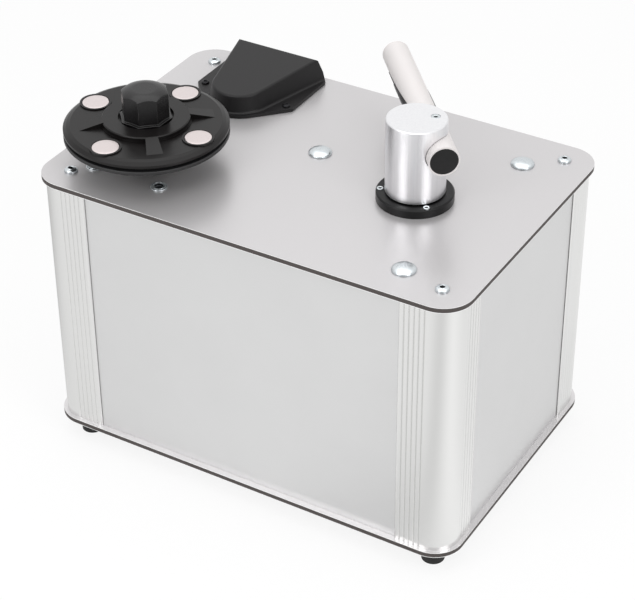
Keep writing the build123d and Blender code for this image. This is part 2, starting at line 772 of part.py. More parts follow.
def clamp_ramp():
    """Spoke that widens as it slopes from the top of the ring down to the clamp's face."""
    end_z = CLAMP_FACE_Z - SEAT_CLEAR
    ring_in = CLAMP_RING_R - RAMP_W / 2
    side = [
        (ring_in, end_z),
        (ring_in, CLAMP_RING_TOP),
        (CLAMP_RING_R - CLAMP_RING_EDGE, CLAMP_RING_TOP),
        (RAMP_END_R, CLAMP_FACE_Z),
        (RAMP_END_R, end_z),
    ]
    plan = [
        (ring_in, -RAMP_W / 2),
        (CLAMP_RING_R, -RAMP_W / 2),
        (RAMP_END_R, -RAMP_END_W / 2),
        (RAMP_END_R, RAMP_END_W / 2),
        (CLAMP_RING_R, RAMP_W / 2),
        (ring_in, RAMP_W / 2),
    ]
    above = slab(make_face(Polyline(*plan, close=True)), end_z, CLAMP_RING_TOP)
    return prism_y(side, -RAMP_END_W, RAMP_END_W) & above


def clamp_disc():
    """Disc with a raised ring round the knob's recess, four ramps and four magnet seats."""
    rim_top = CLAMP_RIM_Z + CLAMP_RIM_H
    ledge_z = CLAMP_FACE_Z + CLAMP_LEDGE_H
    outline = [
        (INSERT_R, CLAMP_RIM_Z),
        (CLAMP_R - PLATTER_EDGE, CLAMP_RIM_Z),
        (CLAMP_R, CLAMP_RIM_Z + PLATTER_EDGE),
        (CLAMP_R, rim_top),
        (CLAMP_BEVEL_R, CLAMP_BEVEL_Z),
        (CLAMP_SHOULDER_R, CLAMP_FACE_Z),
        (CLAMP_RING_R + CLAMP_LEDGE_W, CLAMP_FACE_Z),
        (CLAMP_RING_R + CLAMP_LEDGE_W, ledge_z),
        (CLAMP_RING_R, ledge_z),
        (CLAMP_RING_R, CLAMP_RING_TOP - CLAMP_RING_EDGE),
        (CLAMP_RING_R - CLAMP_RING_EDGE, CLAMP_RING_TOP),
        (CLAMP_RECESS_R, CLAMP_RING_TOP),
        (CLAMP_RECESS_R, CLAMP_RECESS_Z),
        (INSERT_R, CLAMP_RECESS_Z),
    ]
    disc = turned(outline)
    for i in range(RAMP_COUNT):
        turn = (i + 0.5) * 360 / RAMP_COUNT
        disc += Rot(0, 0, turn) * clamp_ramp()
    lip_r = MAGNET_R + MAGNET_LIP_W
    seat_z = MAGNET_TOP - MAGNET_T
    for place in magnet_places():
        disc += place * rod(0, 0, lip_r, CLAMP_RIM_Z + PLATTER_EDGE, MAGNET_LIP_Z)
        disc -= place * rod(0, 0, MAGNET_R + HOLE_CLEAR, seat_z, MAGNET_LIP_Z)
    return on_clamp(disc)


def clamp_magnets():
    magnet = rod(0, 0, MAGNET_R, MAGNET_TOP - MAGNET_T, MAGNET_TOP)
    return [on_clamp(place * magnet) for place in magnet_places()]


def clamp_pad():
    top = DECK + CLAMP_RIM_Z
    bottom = MAT_TOP + CLAMP_SEAT_GAP
    return pipe(SPINDLE_X, SPINDLE_Y, PAD_R, INSERT_R, bottom, top)


def knob_outline(grow):
    """Circle with shallow hollows between the corners of the grip."""
    r = KNOB_R + grow
    half_chord = r * sin(radians(180 / KNOB_FACETS))
    facet_r = (half_chord**2 + KNOB_HOLLOW**2) / (2 * KNOB_HOLLOW)
    distance = r * cos(radians(180 / KNOB_FACETS)) - KNOB_HOLLOW + facet_r
    outline = RegularPolygon(r, KNOB_FACETS, rotation=180 / KNOB_FACETS)
    for i in range(KNOB_FACETS):
        outline -= Rot(0, 0, i * 360 / KNOB_FACETS) * Pos(distance, 0) * Circle(facet_r)
    return outline


def clamp_knob():
    """Grip with hollow facets, a domed crown and a thin flange in the ring's recess."""
    reach = KNOB_R + KNOB_SHOULDER_OUT
    crown = ThreePointArc(
        (KNOB_TOP_R, 0, KNOB_TOP), (KNOB_CROWN_R, 0, KNOB_CROWN_Z), (reach, 0, KNOB_SHOULDER)
    )
    sides = Polyline(
        (reach, 0, KNOB_SHOULDER),
        (reach, 0, CLAMP_RECESS_Z),
        (0, 0, CLAMP_RECESS_Z),
        (0, 0, KNOB_TOP),
        (KNOB_TOP_R, 0, KNOB_TOP),
    )
    envelope = revolve(make_face(crown + sides), Axis.Z)
    knob = slab(knob_outline(0), CLAMP_RECESS_Z, KNOB_TOP) & envelope
    flange_z = CLAMP_RECESS_Z + KNOB_FLANGE_T
    knob += slab(knob_outline(KNOB_FLANGE_W), CLAMP_RECESS_Z, flange_z)
    return on_clamp(knob - rod(0, 0, INSERT_R, CLAMP_RECESS_Z, INSERT_TOP))


def clamp_insert():
    """Threaded brass insert that runs on the spindle."""
    bore_r = SPINDLE_R + HOLE_CLEAR
    return on_clamp(pipe(0, 0, INSERT_R, bore_r, CLAMP_RIM_Z, INSERT_TOP))


# ---------------------------------------------------------------- suction arm


def arm_post():
    """Turned post with a bore for the stem, a cross hole for the tube and a set-screw hole."""
    post_top = DECK + POST_TOP
    post = rod(0, 0, POST_R, POST_BOTTOM, post_top)
    post = chamfer(post.edges().group_by(Axis.Z)[-1], POST_EDGE)
    bore_top = DECK + STEM_TOP + HOLE_CLEAR
    post -= rod(0, 0, STEM_R + RUN_CLEAR, POST_BOTTOM, bore_top)
    post -= rod_y(ARM_OFFSET, -POST_R, POST_R, TUBE_Z, ARM_HOLE_R)
    post -= rod(PORT_X, 0, PORT_R, DECK + STEM_TOP, TUBE_Z)
    post -= rod(ARM_OFFSET, 0, SET_SCREW_R, TUBE_Z, post_top)
    recess = post_top - SET_SCREW_RECESS
    post -= rod(ARM_OFFSET, 0, SET_SCREW_RECESS_R, recess, post_top)
    return ARM_PLACE * post


def arm_set_screw():
    """Grub screw that holds the tube in the post."""
    top = DECK + POST_TOP - SET_SCREW_RECESS
    screw = rod(0, 0, SET_SCREW_R, TUBE_Z + SLEEVE_R, top)
    return ARM_PLACE * Pos(ARM_OFFSET, 0, 0) * screw


def arm_tube():
    """Suction tube with a thicker tail in the post, a slot underneath and a port to the stem."""
    tube = rod_y(ARM_OFFSET, TUBE_TAIL, TUBE_TIP, TUBE_Z, TUBE_R)
    tube += rod_y(ARM_OFFSET, TUBE_TAIL, SLEEVE_END, TUBE_Z, SLEEVE_R)
    tube -= rod_y(ARM_OFFSET, TUBE_TAIL, TUBE_TIP, TUBE_Z, TUBE_BORE_R)
    tube -= rod_y(ARM_OFFSET, TUBE_TAIL, TUBE_TAIL + PLUG_L, TUBE_Z, PLUG_R)
    half = SLOT_W / 2
    x0, x1 = ARM_OFFSET - half, ARM_OFFSET + half
    tube -= block(x0, SLOT_START, TUBE_Z - 2 * TUBE_R, x1, SLOT_END, TUBE_Z)
    tube -= rod(PORT_X, 0, PORT_R, TUBE_Z - 2 * TUBE_R, TUBE_Z)
    return ARM_PLACE * tube


def arm_plugs():
    """Plug in the tail, slightly below its rim, and plug in the tip."""
    tail = TUBE_TAIL + PLUG_RECESS
    tail_plug = rod_y(ARM_OFFSET, tail, TUBE_TAIL + PLUG_L, TUBE_Z, PLUG_R)
    tip_plug = rod_y(ARM_OFFSET, TUBE_TIP - PLUG_L, TUBE_TIP, TUBE_Z, TUBE_BORE_R)
    return [ARM_PLACE * tail_plug, ARM_PLACE * tip_plug]


def under_slant(solid):
    """Keep what lies below the shoe's slanted top edge."""
    half_w = STRIP_DEPTH
    side = make_face(
        Polyline(
            (-half_w, SHOE_START, SHOE_HIGH),
            (-half_w, SHOE_END, SHOE_LOW),
            (-half_w, SHOE_END, -STRIP_DEPTH),
            (-half_w, SHOE_START, -STRIP_DEPTH),
            close=True,
        )
    )
    keep = Pos(ARM_OFFSET, 0, TUBE_Z) * extrude(side, 2 * half_w, dir=(1, 0, 0))
    return solid & keep


def slot_cut():
    """Space of the suction slot, down through the shoe and between the strips."""
    half = SLOT_W / 2
    x0, x1 = ARM_OFFSET - half, ARM_OFFSET + half
    return block(x0, SLOT_START, TUBE_Z - 2 * STRIP_DEPTH, x1, SLOT_END, TUBE_Z)


def suction_shoe():
    """Thin half shell under the tube that backs the velvet strips and tapers to the tip."""
    shell = rod_y(ARM_OFFSET, SHOE_START, SHOE_END, TUBE_Z, TUBE_R + SHOE_T)
    shell -= rod_y(ARM_OFFSET, SHOE_START, SHOE_END, TUBE_Z, TUBE_R + RUN_CLEAR)
    return ARM_PLACE * (under_slant(shell) - slot_cut())


def velvet_strips():
    """Two strips beside the slot, shaped to the shoe above them."""
    strips = []
    half = SLOT_W / 2
    for side in (-1, 1):
        x0, x1 = sorted((ARM_OFFSET + side * half, ARM_OFFSET + side * STRIP_HALF_W))
        strip = block(x0, SLOT_START, TUBE_Z - STRIP_DEPTH, x1, SHOE_END, TUBE_Z)
        strip -= rod_y(ARM_OFFSET, SHOE_START, SHOE_END, TUBE_Z, TUBE_R + SHOE_T)
        strip &= block(x0, SLOT_START, TUBE_Z - STRIP_DEPTH, x1, SHOE_END, TUBE_Z - TUBE_R / 2)
        strips.append(ARM_PLACE * strip)
    return strips


def arm_base_ring():
    ring = rod(POST_X, POST_Y, RING_R, DECK, DECK + RING_H)
    ring = chamfer(ring.edges().group_by(Axis.Z)[-1], RING_EDGE)
    ring -= rod(POST_X, POST_Y, RING_BORE_R, DECK, DECK + RING_H)
    seat = DECK + RING_H - RING_SCREW_SINK
    for x, y in RING_SCREWS:
        ring -= rod(x, y, RING_SCREW_HEAD_R + HOLE_CLEAR, seat, DECK + RING_H)
        ring -= rod(x, y, RING_SCREW_SHANK_R + RUN_CLEAR, DECK, seat)
    return ring


def ring_screw():
    return cap_screw(
        RING_SCREW_HEAD_R, RING_SCREW_HEAD_H, RING_SCREW_SHANK_R, RING_SCREW_L, RING_SCREW_EDGE
    )


def arm_stem():
    """Hollow stem that the post turns on; its collar carries the post and rides on the spring."""
    stem = rod(POST_X, POST_Y, STEM_R, DECK + STEM_BOTTOM, DECK + STEM_TOP)
    stem += rod(POST_X, POST_Y, COLLAR_R, COLLAR_BOTTOM, COLLAR_TOP)
    return stem - rod(POST_X, POST_Y, STEM_BORE_R, DECK + STEM_BOTTOM, DECK + STEM_TOP)


def stem_bush():
    """Flanged bush between the deck and the tank lid that guides the stem."""
    flange_bottom = DECK_UNDER - BUSH_FLANGE_T
    bush = rod(POST_X, POST_Y, BUSH_SLEEVE_R, DECK + BUSH_BOTTOM, SPRING_SEAT)
    bush += rod(POST_X, POST_Y, BUSH_FLANGE_R, flange_bottom, DECK_UNDER)
    return bush - rod(POST_X, POST_Y, STEM_R + RUN_CLEAR, DECK + BUSH_BOTTOM, SPRING_SEAT)


def arm_spring():
    """Coil spring of flat wire between the bush and the stem's collar."""
    wire_seat = SPRING_WIRE_H / 2 + SEAT_CLEAR
    height = COLLAR_BOTTOM - SPRING_SEAT - 2 * wire_seat
    coil_r = (STEM_R + RING_BORE_R) / 2
    wire = Pos(coil_r, 0, 0) * Rot(90, 0, 0) * Rectangle(SPRING_WIRE_W, SPRING_WIRE_H)
    sections = []
    for i in range(SPRING_STEPS + 1):
        share = i / SPRING_STEPS
        sections.append(Pos(0, 0, height * share) * Rot(0, 0, 360 * SPRING_TURNS * share) * wire)
    return Pos(POST_X, POST_Y, SPRING_SEAT + wire_seat) * loft(sections, ruled=True)


# ---------------------------------------------------------------- fluid tank


def tank_bolt():
    return domed_screw(TANK_BOLT_HEAD_R, TANK_BOLT_HEAD_H, TANK_BOLT_R, TANK_BOLT_L)


def tank_nut():
    return hexagon(NUT_AF, -NUT_H, 0) - rod(0, 0, TANK_BOLT_R + RUN_CLEAR, -NUT_H, 0)


def tank_top_outline():
    """Round flange with an ear at each bolt."""
    outline = Pos(POST_X, POST_Y) * Circle(TANK_R)
    for x, y in TANK_BOLTS:
        middle = Pos((x + POST_X) / 2, (y + POST_Y) / 2)
        bearing = Vector(x - POST_X, y - POST_Y)
        turn = Vector(1, 0).get_signed_angle(bearing, Vector(0, 0, 1))
        outline += middle * Rot(0, 0, turn) * Rectangle(bearing.length, 2 * EAR_R)
        outline += Pos(x, y) * Circle(EAR_R)
    for x, y in TANK_BOLTS:
        outline -= Pos(x, y) * Circle(TANK_BOLT_R + HOLE_CLEAR)
    return outline


def tank_lid():
    outline = tank_top_outline() - Pos(POST_X, POST_Y) * Circle(BUSH_FLANGE_R + HOLE_CLEAR)
    return slab(outline, LID_BOTTOM, DECK_UNDER)


def tank():
    """Round pot with a flange, a side stub for the suction hose and a drain stub to the back."""
    body = slab(tank_top_outline(), LID_BOTTOM - TANK_FLANGE_T, LID_BOTTOM)
    body += rod(POST_X, POST_Y, TANK_R, TANK_BOTTOM, LID_BOTTOM)
    stub_end = HOSE_START_X - HOSE_OVERLAP
    body += rod_x(stub_end, POST_X, HOSE_Y, HOSE_TOP_Z, STUB_R)
    body += rod_y(DRAIN_X, POST_Y, PANEL_FACE_Y + STUB_WALL, DRAIN_Z, DRAIN_R)
    inner_r = TANK_R - TANK_WALL
    body -= rod(POST_X, POST_Y, inner_r, TANK_BOTTOM + TANK_WALL, LID_BOTTOM)
    body -= rod_x(stub_end, POST_X, HOSE_Y, HOSE_TOP_Z, STUB_R - STUB_WALL)
    return body - rod_y(DRAIN_X, POST_Y, PANEL_FACE_Y + STUB_WALL, DRAIN_Z, DRAIN_BORE_R)


def vacuum_hose():
    """Hose from the tank's stub, level and then down over the plenum's stub."""
    route = FilletPolyline(
        (HOSE_START_X, HOSE_Y, HOSE_TOP_Z),
        (HOSE_X, HOSE_Y, HOSE_TOP_Z),
        (HOSE_X, HOSE_Y, HOSE_BOTTOM_Z),
        radius=HOSE_BEND_R,
    )
    section = Plane(origin=route @ 0, z_dir=route % 0)
    outer = sweep(section * Circle(HOSE_R), path=route)
    return outer - sweep(section * Circle(HOSE_BORE_R), path=route)


def drain_fittings():
    """Elbow on the drain stub, and the clip that holds the level tube to the rear panel."""
    elbow = rod_y(DRAIN_X, PANEL_FACE_Y, LEVEL_TUBE_Y, DRAIN_Z, ELBOW_R)
    socket_top = DRAIN_Z + ELBOW_SOCKET_H
    elbow += rod(DRAIN_X, LEVEL_TUBE_Y, ELBOW_SOCKET_R, DRAIN_Z - ELBOW_SOCKET_R, socket_top)
    elbow -= rod_y(DRAIN_X, PANEL_FACE_Y, PANEL_FACE_Y + STUB_WALL, DRAIN_Z, DRAIN_R)
    elbow -= rod(DRAIN_X, LEVEL_TUBE_Y, LEVEL_TUBE_R + RUN_CLEAR, LEVEL_TUBE_Z, socket_top)
    clip_top = LEVEL_TUBE_TOP - CLIP_DROP
    x0, x1 = DRAIN_X - CLIP_HALF_W, DRAIN_X + CLIP_HALF_W
    clip = block(x0, PANEL_FACE_Y, clip_top - CLIP_H, x1, LEVEL_TUBE_Y, clip_top)
    clip -= rod(DRAIN_X, LEVEL_TUBE_Y, LEVEL_TUBE_R + RUN_CLEAR, clip_top - CLIP_H, clip_top)
    return [elbow, clip]


def level_tube():
    return pipe(
        DRAIN_X, LEVEL_TUBE_Y, LEVEL_TUBE_R, LEVEL_TUBE_BORE_R, LEVEL_TUBE_Z, LEVEL_TUBE_TOP
    )


def level_stopper():
    head_z = LEVEL_TUBE_TOP + SEAT_CLEAR
    pin_r = LEVEL_TUBE_BORE_R - SEAT_CLEAR
    stopper = rod(DRAIN_X, LEVEL_TUBE_Y, STOPPER_R, head_z, head_z + STOPPER_H)
    return stopper + rod(DRAIN_X, LEVEL_TUBE_Y, pin_r, head_z - STOPPER_PIN_L, head_z)


# ---------------------------------------------------------------- vacuum unit


def plenum_outline(inset):
    front_y = HOSE_Y - PLENUM_FRONT_MARGIN + inset
    back_y = VAC_Y + PLENUM_BACK - inset
    depth = back_y - front_y
    outline = RectangleRounded(PLENUM_W - 2 * inset, depth, PLENUM_CORNER_R - inset)
    return Pos(COVER_X, front_y + depth / 2) * outline


def vac_plenum():
    """Shallow box under the fan, with a stub on top for the suction hose."""
    box = slab(plenum_outline(0), BASE_TOP, PLENUM_TOP)
    box += rod(HOSE_X, HOSE_Y, STUB_R, PLENUM_TOP, PLENUM_TOP + HOSE_OVERLAP)
    box -= slab(plenum_outline(PLENUM_WALL), BASE_TOP + PLENUM_WALL, PLENUM_TOP - PLENUM_WALL)
    middle_z = BASE_TOP + PLENUM_H / 2
    box -= rod(HOSE_X, HOSE_Y, STUB_R - STUB_WALL, middle_z, PLENUM_TOP + HOSE_OVERLAP)
    return box - rod(COVER_X, VAC_Y, PLENUM_HOLE_R, middle_z, PLENUM_TOP)


def vac_shroud():
    """Pressed fan shroud: inlet below, bearing seat and air outlet above."""
    inner_r = SHROUD_R - SHROUD_WALL
    shroud = rod(0, 0, SHROUD_R, 0, SHROUD_H)
    shroud -= rod(0, 0, inner_r, SHROUD_WALL, SHROUD_H - SHROUD_WALL)
    shroud -= rod(0, 0, PLENUM_HOLE_R, 0, SHROUD_WALL)
    shroud -= rod(0, 0, FRAME_R - FRAME_WALL, SHROUD_H - SHROUD_WALL, SHROUD_H)
    bridge = Rectangle(2 * FRAME_R, BRIDGE_W) + Rectangle(BRIDGE_W, 2 * FRAME_R)
    bridge = (bridge & Circle(FRAME_R)) + Circle(VAC_HUB_R)
    shroud += slab(bridge, SHROUD_H - SHROUD_WALL, SHROUD_H)
    shroud -= rod(0, 0, VAC_SHAFT_R + RUN_CLEAR, 0, SHROUD_H)
    return Pos(COVER_X, VAC_Y, PLENUM_TOP) * shroud


def impeller_blade():
    """Upright blade, swept back along an arc from the eye to the rim."""
    tip = (IMPELLER_R * cos(radians(BLADE_TURN)), IMPELLER_R * sin(radians(BLADE_TURN)))
    middle_r = (BLADE_ROOT_R + IMPELLER_R) / 2
    middle_turn = radians(BLADE_TURN_MIDWAY)
    middle = (middle_r * cos(middle_turn), middle_r * sin(middle_turn))
    path = ThreePointArc((BLADE_ROOT_R, 0), middle, tip)
    blade = extrude(trace(path, BLADE_T), BLADE_H)
    return blade & rod(0, 0, IMPELLER_R, 0, BLADE_H)


def vac_impeller():
    impeller = rod(0, 0, IMPELLER_R, 0, IMPELLER_PLATE_T)
    for i in range(BLADE_COUNT):
        turn = i * 360 / BLADE_COUNT
        impeller += Pos(0, 0, -BLADE_H) * Rot(0, 0, turn) * impeller_blade()
    impeller += rod(0, 0, VAC_HUB_R, -BLADE_H, IMPELLER_PLATE_T)
    impeller -= rod(0, 0, VAC_SHAFT_R, -BLADE_H, IMPELLER_PLATE_T)
    return Pos(COVER_X, VAC_Y, PLENUM_TOP + IMPELLER_Z + BLADE_H) * impeller


def vac_frame():
    """Motor frame with its field ring, closed by a bearing bridge on top."""
    frame = rod(0, 0, FRAME_R, 0, FRAME_H) - rod(0, 0, FRAME_R - FRAME_WALL, 0, FRAME_H)
    field = rod(0, 0, FRAME_R, FIELD_Z, FIELD_Z + FIELD_H)
    frame += field - rod(0, 0, FIELD_BORE_R, FIELD_Z, FIELD_Z + FIELD_H)
    bridge = Rectangle(2 * FRAME_R, BRIDGE_W) + Rectangle(BRIDGE_W, 2 * FRAME_R)
    bridge = (bridge & Circle(FRAME_R)) + Circle(VAC_HUB_R)
    frame += slab(bridge, FRAME_H - BRIDGE_T, FRAME_H)
    frame -= rod(0, 0, VAC_SHAFT_R + RUN_CLEAR, 0, FRAME_H)
    return Pos(COVER_X, VAC_Y, SHROUD_TOP) * frame


def vac_rotor():
    """Shaft with the armature and the commutator."""
    shaft_bottom = PLENUM_TOP + IMPELLER_Z
    rotor = rod(0, 0, VAC_SHAFT_R, shaft_bottom, FRAME_TOP)
    armature_z = SHROUD_TOP + FIELD_Z
    rotor += rod(0, 0, ARMATURE_R, armature_z, armature_z + FIELD_H)
    commutator_top = FRAME_TOP - BRIDGE_T - HOLE_CLEAR
    rotor += rod(0, 0, COMMUTATOR_R, commutator_top - COMMUTATOR_H, commutator_top)
    return Pos(COVER_X, VAC_Y, 0) * rotor


def exhaust_duct():
    """Funnel that leads the warm air up to the exhaust cover, with a collar on the frame."""
    low_r = FRAME_R + HOLE_CLEAR
    outline = [
        (low_r, DUCT_Z),
        (low_r, FRAME_TOP),
        (EXHAUST_HOLE_R, DECK_UNDER),
        (EXHAUST_HOLE_R + DUCT_WALL, DECK_UNDER),
        (low_r + DUCT_WALL, FRAME_TOP),
        (low_r + DUCT_WALL, DUCT_Z),
    ]
    return Pos(COVER_X, VAC_Y, 0) * turned(outline)


# ---------------------------------------------------------------- electrics


def inlet_socket():
    """Mains socket hollow with its two cut corners, through the flange to its floor."""
    half = SOCKET_W / 2
    cut = SOCKET_CORNER
    z0 = -SOCKET_DROP - SOCKET_H / 2
    z1 = z0 + SOCKET_H
    points = [
        (-half, z1),
        (half, z1),
        (half, z0 + cut),
        (half - cut, z0),
        (cut - half, z0),
        (-half, z0 + cut),
    ]
    return prism_y(points, -SOCKET_L, INLET_FLANGE_T)


def mains_inlet():
    """Flanged inlet in the rear panel, with a socket and a slot for the fuse drawer."""
    half_fw, half_fh = INLET_FLANGE_W / 2, INLET_FLANGE_H / 2
    half_bw, half_bh = INLET_BODY_W / 2, INLET_BODY_H / 2
    inlet = block(-half_fw, 0, -half_fh, half_fw, INLET_FLANGE_T, half_fh)
    inlet += block(-half_bw, -INLET_BODY_L, -half_bh, half_bw, 0, half_bh)
    inlet -= inlet_socket()
    half_dw, half_dh = DRAWER_W / 2, DRAWER_H / 2
    z0, z1 = DRAWER_RISE - half_dh, DRAWER_RISE + half_dh
    inlet -= block(-half_dw, -DRAWER_L, z0, half_dw, INLET_FLANGE_T, z1)
    return Pos(INLET_X, PANEL_FACE_Y, INLET_Z) * inlet


def inlet_pins():
    """Three blades that stand on the floor of the socket, the middle one higher."""
    pins = []
    for i in (-1, 0, 1):
        z = INLET_Z - SOCKET_DROP + (1 - 2 * abs(i)) * PIN_STEP / 2
        x = INLET_X + i * PIN_SPREAD
        y = PANEL_FACE_Y - SOCKET_L
        x0, z0 = x - PIN_T / 2, z - PIN_W / 2
        pins.append(block(x0, y, z0, x0 + PIN_T, y + PIN_L, z0 + PIN_W))
    return pins


def fuse_drawer():
    """Small drawer for the fuse, with a finger lip along its top edge."""
    half_w = DRAWER_W / 2 - DRAWER_CLEAR
    half_h = DRAWER_H / 2 - DRAWER_CLEAR
    z0, z1 = DRAWER_RISE - half_h, DRAWER_RISE + half_h
    front = INLET_FLANGE_T + DRAWER_LIP
    drawer = block(-half_w, DRAWER_CLEAR - DRAWER_L, z0, half_w, front, z1)
    notch = block(-half_w, INLET_FLANGE_T, z0, half_w, front, z1 - DRAWER_LIP)
    return Pos(INLET_X, PANEL_FACE_Y, INLET_Z) * (drawer - notch)


def switch_body(y):
    """Rocker switch housing in the left panel, with the rocker's well."""
    half_zw, half_zh = BEZEL_W / 2, BEZEL_H / 2
    body = block(-BEZEL_T, -half_zw, -half_zh, 0, half_zw, half_zh)
    half_w, half_h = SWITCH_BODY_W / 2, SWITCH_BODY_H / 2
    body += block(0, -half_w, -half_h, SWITCH_BODY_L, half_w, half_h)
    well_w = ROCKER_W / 2 + ROCKER_CLEAR
    well = rod_y(0, -well_w, well_w, 0, ROCKER_R + ROCKER_CLEAR)
    return Pos(-PANEL_FACE_X, y, SWITCH_Z) * (body - well)


def rocker(y, tilt):
    """Rocker about its pivot: a round-ended key whose front folds along its middle."""
    half_w = ROCKER_W / 2
    fold = ROCKER_R * sin(radians(ROCKER_FOLD))
    front = -BEZEL_T - ROCKER_PROUD
    points = [
        (front + fold, 0),
        (front, ROCKER_R),
        (ROCKER_DEPTH, ROCKER_R),
        (ROCKER_DEPTH, -ROCKER_R),
        (front, -ROCKER_R),
    ]
    key = prism_y(points, -half_w, half_w) & rod_y(0, -half_w, half_w, 0, ROCKER_R)
    return Pos(-PANEL_FACE_X, y, SWITCH_Z) * Rot(0, tilt, 0) * key


def power_board():
    """Board on four standoffs, with a transformer and a terminal block."""
    board_z = BASE_TOP + STANDOFF_H
    board_top = board_z + BOARD_T
    board_y = POST_Y - BOARD_FORWARD
    x0, x1 = POST_X - BOARD_W / 2, POST_X + BOARD_W / 2
    y0, y1 = board_y - BOARD_D / 2, board_y + BOARD_D / 2
    pieces = [block(x0, y0, board_z, x1, y1, board_top)]
    edge = STANDOFF_INSET
    for x in (x0 + edge, x1 - edge):
        for y in (y0 + edge, y1 - edge):
            pieces.append(rod(x, y, STANDOFF_R, BASE_TOP, board_z))
    left = x0 + 2 * edge
    back = board_y + TRANSFORMER_D / 2
    front, core_top = back - TRANSFORMER_D, board_top + TRANSFORMER_H
    pieces.append(block(left, front, board_top, left + TRANSFORMER_W, back, core_top))
    right, front = x1 - 2 * edge, y0 + edge
    terminal_top = board_top + TERMINAL_H
    pieces.append(
        block(right - TERMINAL_W, front, board_top, right, front + TERMINAL_D, terminal_top)
    )
    return pieces


# ---------------------------------------------------------------- all pieces


def corner_screws():
    """Four screws down through the deck, and four up through the feet."""
    screw = corner_screw()
    up = Rot(180, 0, 0) * screw
    return copies(screw, CORNER_SCREWS, DECK) + copies(up, CORNER_SCREWS, FOOT_RECESS_H)


def all_pieces():
    pieces = {
        "base_plate": slab(plate_outline() - base_holes(), FOOT_H, BASE_TOP),
        "deck_plate": slab(plate_outline() - deck_holes(), DECK_UNDER, DECK),
        "corner_profile_fl": corner_profile(-1, -1),
        "corner_profile_fr": corner_profile(1, -1),
        "corner_profile_rl": corner_profile(-1, 1),
        "corner_profile_rr": corner_profile(1, 1),
        "front_panel": panel_y(-1),
        "rear_panel": rear_panel(),
        "left_panel": left_panel(),
        "right_panel": panel_x(1),
        "feet": copies(foot(), CORNER_SCREWS, 0),
        "corner_screws": corner_screws(),
        "exhaust_cover": exhaust_cover(),
        "cover_screws": copies(cover_screw(), COVER_SCREWS, DECK + COVER_FLANGE_T),
        "tank_bolts": copies(tank_bolt(), TANK_BOLTS, DECK),
        "tank_nuts": copies(tank_nut(), TANK_BOLTS, LID_BOTTOM - TANK_FLANGE_T),
        "motor_screws": copies(motor_screw(), MOTOR_SCREWS, DECK),
        "arm_base_ring": arm_base_ring(),
        "arm_base_screws": copies(ring_screw(), RING_SCREWS, DECK + RING_H - RING_SCREW_SINK),
        "arm_post": arm_post(),
        "arm_tube": arm_tube(),
        "arm_plugs": arm_plugs(),
        "arm_set_screw": arm_set_screw(),
        "suction_shoe": suction_shoe(),
        "velvet_strips": velvet_strips(),
        "arm_stem": arm_stem(),
        "stem_bush": stem_bush(),
        "arm_spring": arm_spring(),
        "platter": platter(),
        "platter_mat": platter_mat(),
        "spindle": spindle(),
        "motor_plate": motor_plate(),
        "gearbox": gearbox(),
        "gearmotor_can": gearmotor_can(),
        "clamp_disc": clamp_disc(),
        "clamp_magnets": clamp_magnets(),
        "clamp_knob": clamp_knob(),
        "clamp_pad": clamp_pad(),
        "clamp_insert": clamp_insert(),
        "tank": tank(),
        "tank_lid": tank_lid(),
        "vacuum_hose": vacuum_hose(),
        "drain_fittings": drain_fittings(),
        "level_tube": level_tube(),
        "level_stopper": level_stopper(),
        "vac_plenum": vac_plenum(),
        "vac_shroud": vac_shroud(),
        "vac_impeller": vac_impeller(),
        "vac_rotor": vac_rotor(),
        "vac_frame": vac_frame(),
        "exhaust_duct": exhaust_duct(),
        "mains_inlet": mains_inlet(),
        "inlet_pins": inlet_pins(),
        "fuse_drawer": fuse_drawer(),
        "switch_bodies": [switch_body(y) for y in SWITCH_YS],
        "vacuum_rocker": rocker(SWITCH_YS[0], ROCKER_FOLD),
        "platter_rocker": rocker(SWITCH_YS[1], 0),
        "power_board": power_board(),
    }
    return pieces


def save(node, shape):
    if isinstance(shape, list):
        shape = Compound(children=shape)
    export_step(shape, f"parts/{node}.step")


os.makedirs("parts", exist_ok=True)
for node, shape in all_pieces().items():
    save(node, shape)
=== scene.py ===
"""Looks of a vacuum record cleaning machine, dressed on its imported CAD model.

Lengths in the tables below are millimetres, as on a drawing; MM turns them into metres.
"""

import json

import bmesh
import bpy
import numpy as np
from mathutils import Matrix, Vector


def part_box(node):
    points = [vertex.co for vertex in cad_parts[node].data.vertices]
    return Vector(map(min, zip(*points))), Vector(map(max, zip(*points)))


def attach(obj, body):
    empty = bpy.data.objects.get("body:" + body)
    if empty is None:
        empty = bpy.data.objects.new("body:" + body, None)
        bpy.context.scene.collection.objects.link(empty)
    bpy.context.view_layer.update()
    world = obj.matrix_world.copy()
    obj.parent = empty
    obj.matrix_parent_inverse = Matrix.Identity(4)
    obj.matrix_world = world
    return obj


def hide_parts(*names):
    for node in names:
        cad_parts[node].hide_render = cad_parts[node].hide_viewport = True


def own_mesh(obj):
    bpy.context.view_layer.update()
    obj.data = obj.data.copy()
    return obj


MM = 0.001
TURN = 2 * np.pi

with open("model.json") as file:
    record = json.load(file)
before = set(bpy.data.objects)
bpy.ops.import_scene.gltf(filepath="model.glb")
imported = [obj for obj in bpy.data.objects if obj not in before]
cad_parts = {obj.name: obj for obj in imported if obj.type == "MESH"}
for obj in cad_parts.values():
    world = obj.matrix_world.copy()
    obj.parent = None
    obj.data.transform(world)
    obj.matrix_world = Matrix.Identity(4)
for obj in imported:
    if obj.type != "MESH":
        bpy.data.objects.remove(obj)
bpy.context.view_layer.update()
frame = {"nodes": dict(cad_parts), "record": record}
nodes = frame["nodes"]


def middle(node):
    """Centre of a CAD node's box, in millimetres."""
    low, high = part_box(node)
    return (np.array(low) + np.array(high)) / 2 / MM


def top(node):
    """Height of a CAD node's highest point, in millimetres."""
    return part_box(node)[1][2] / MM


def bottom(node):
    """Height of a CAD node's lowest point, in millimetres."""
    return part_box(node)[0][2] / MM


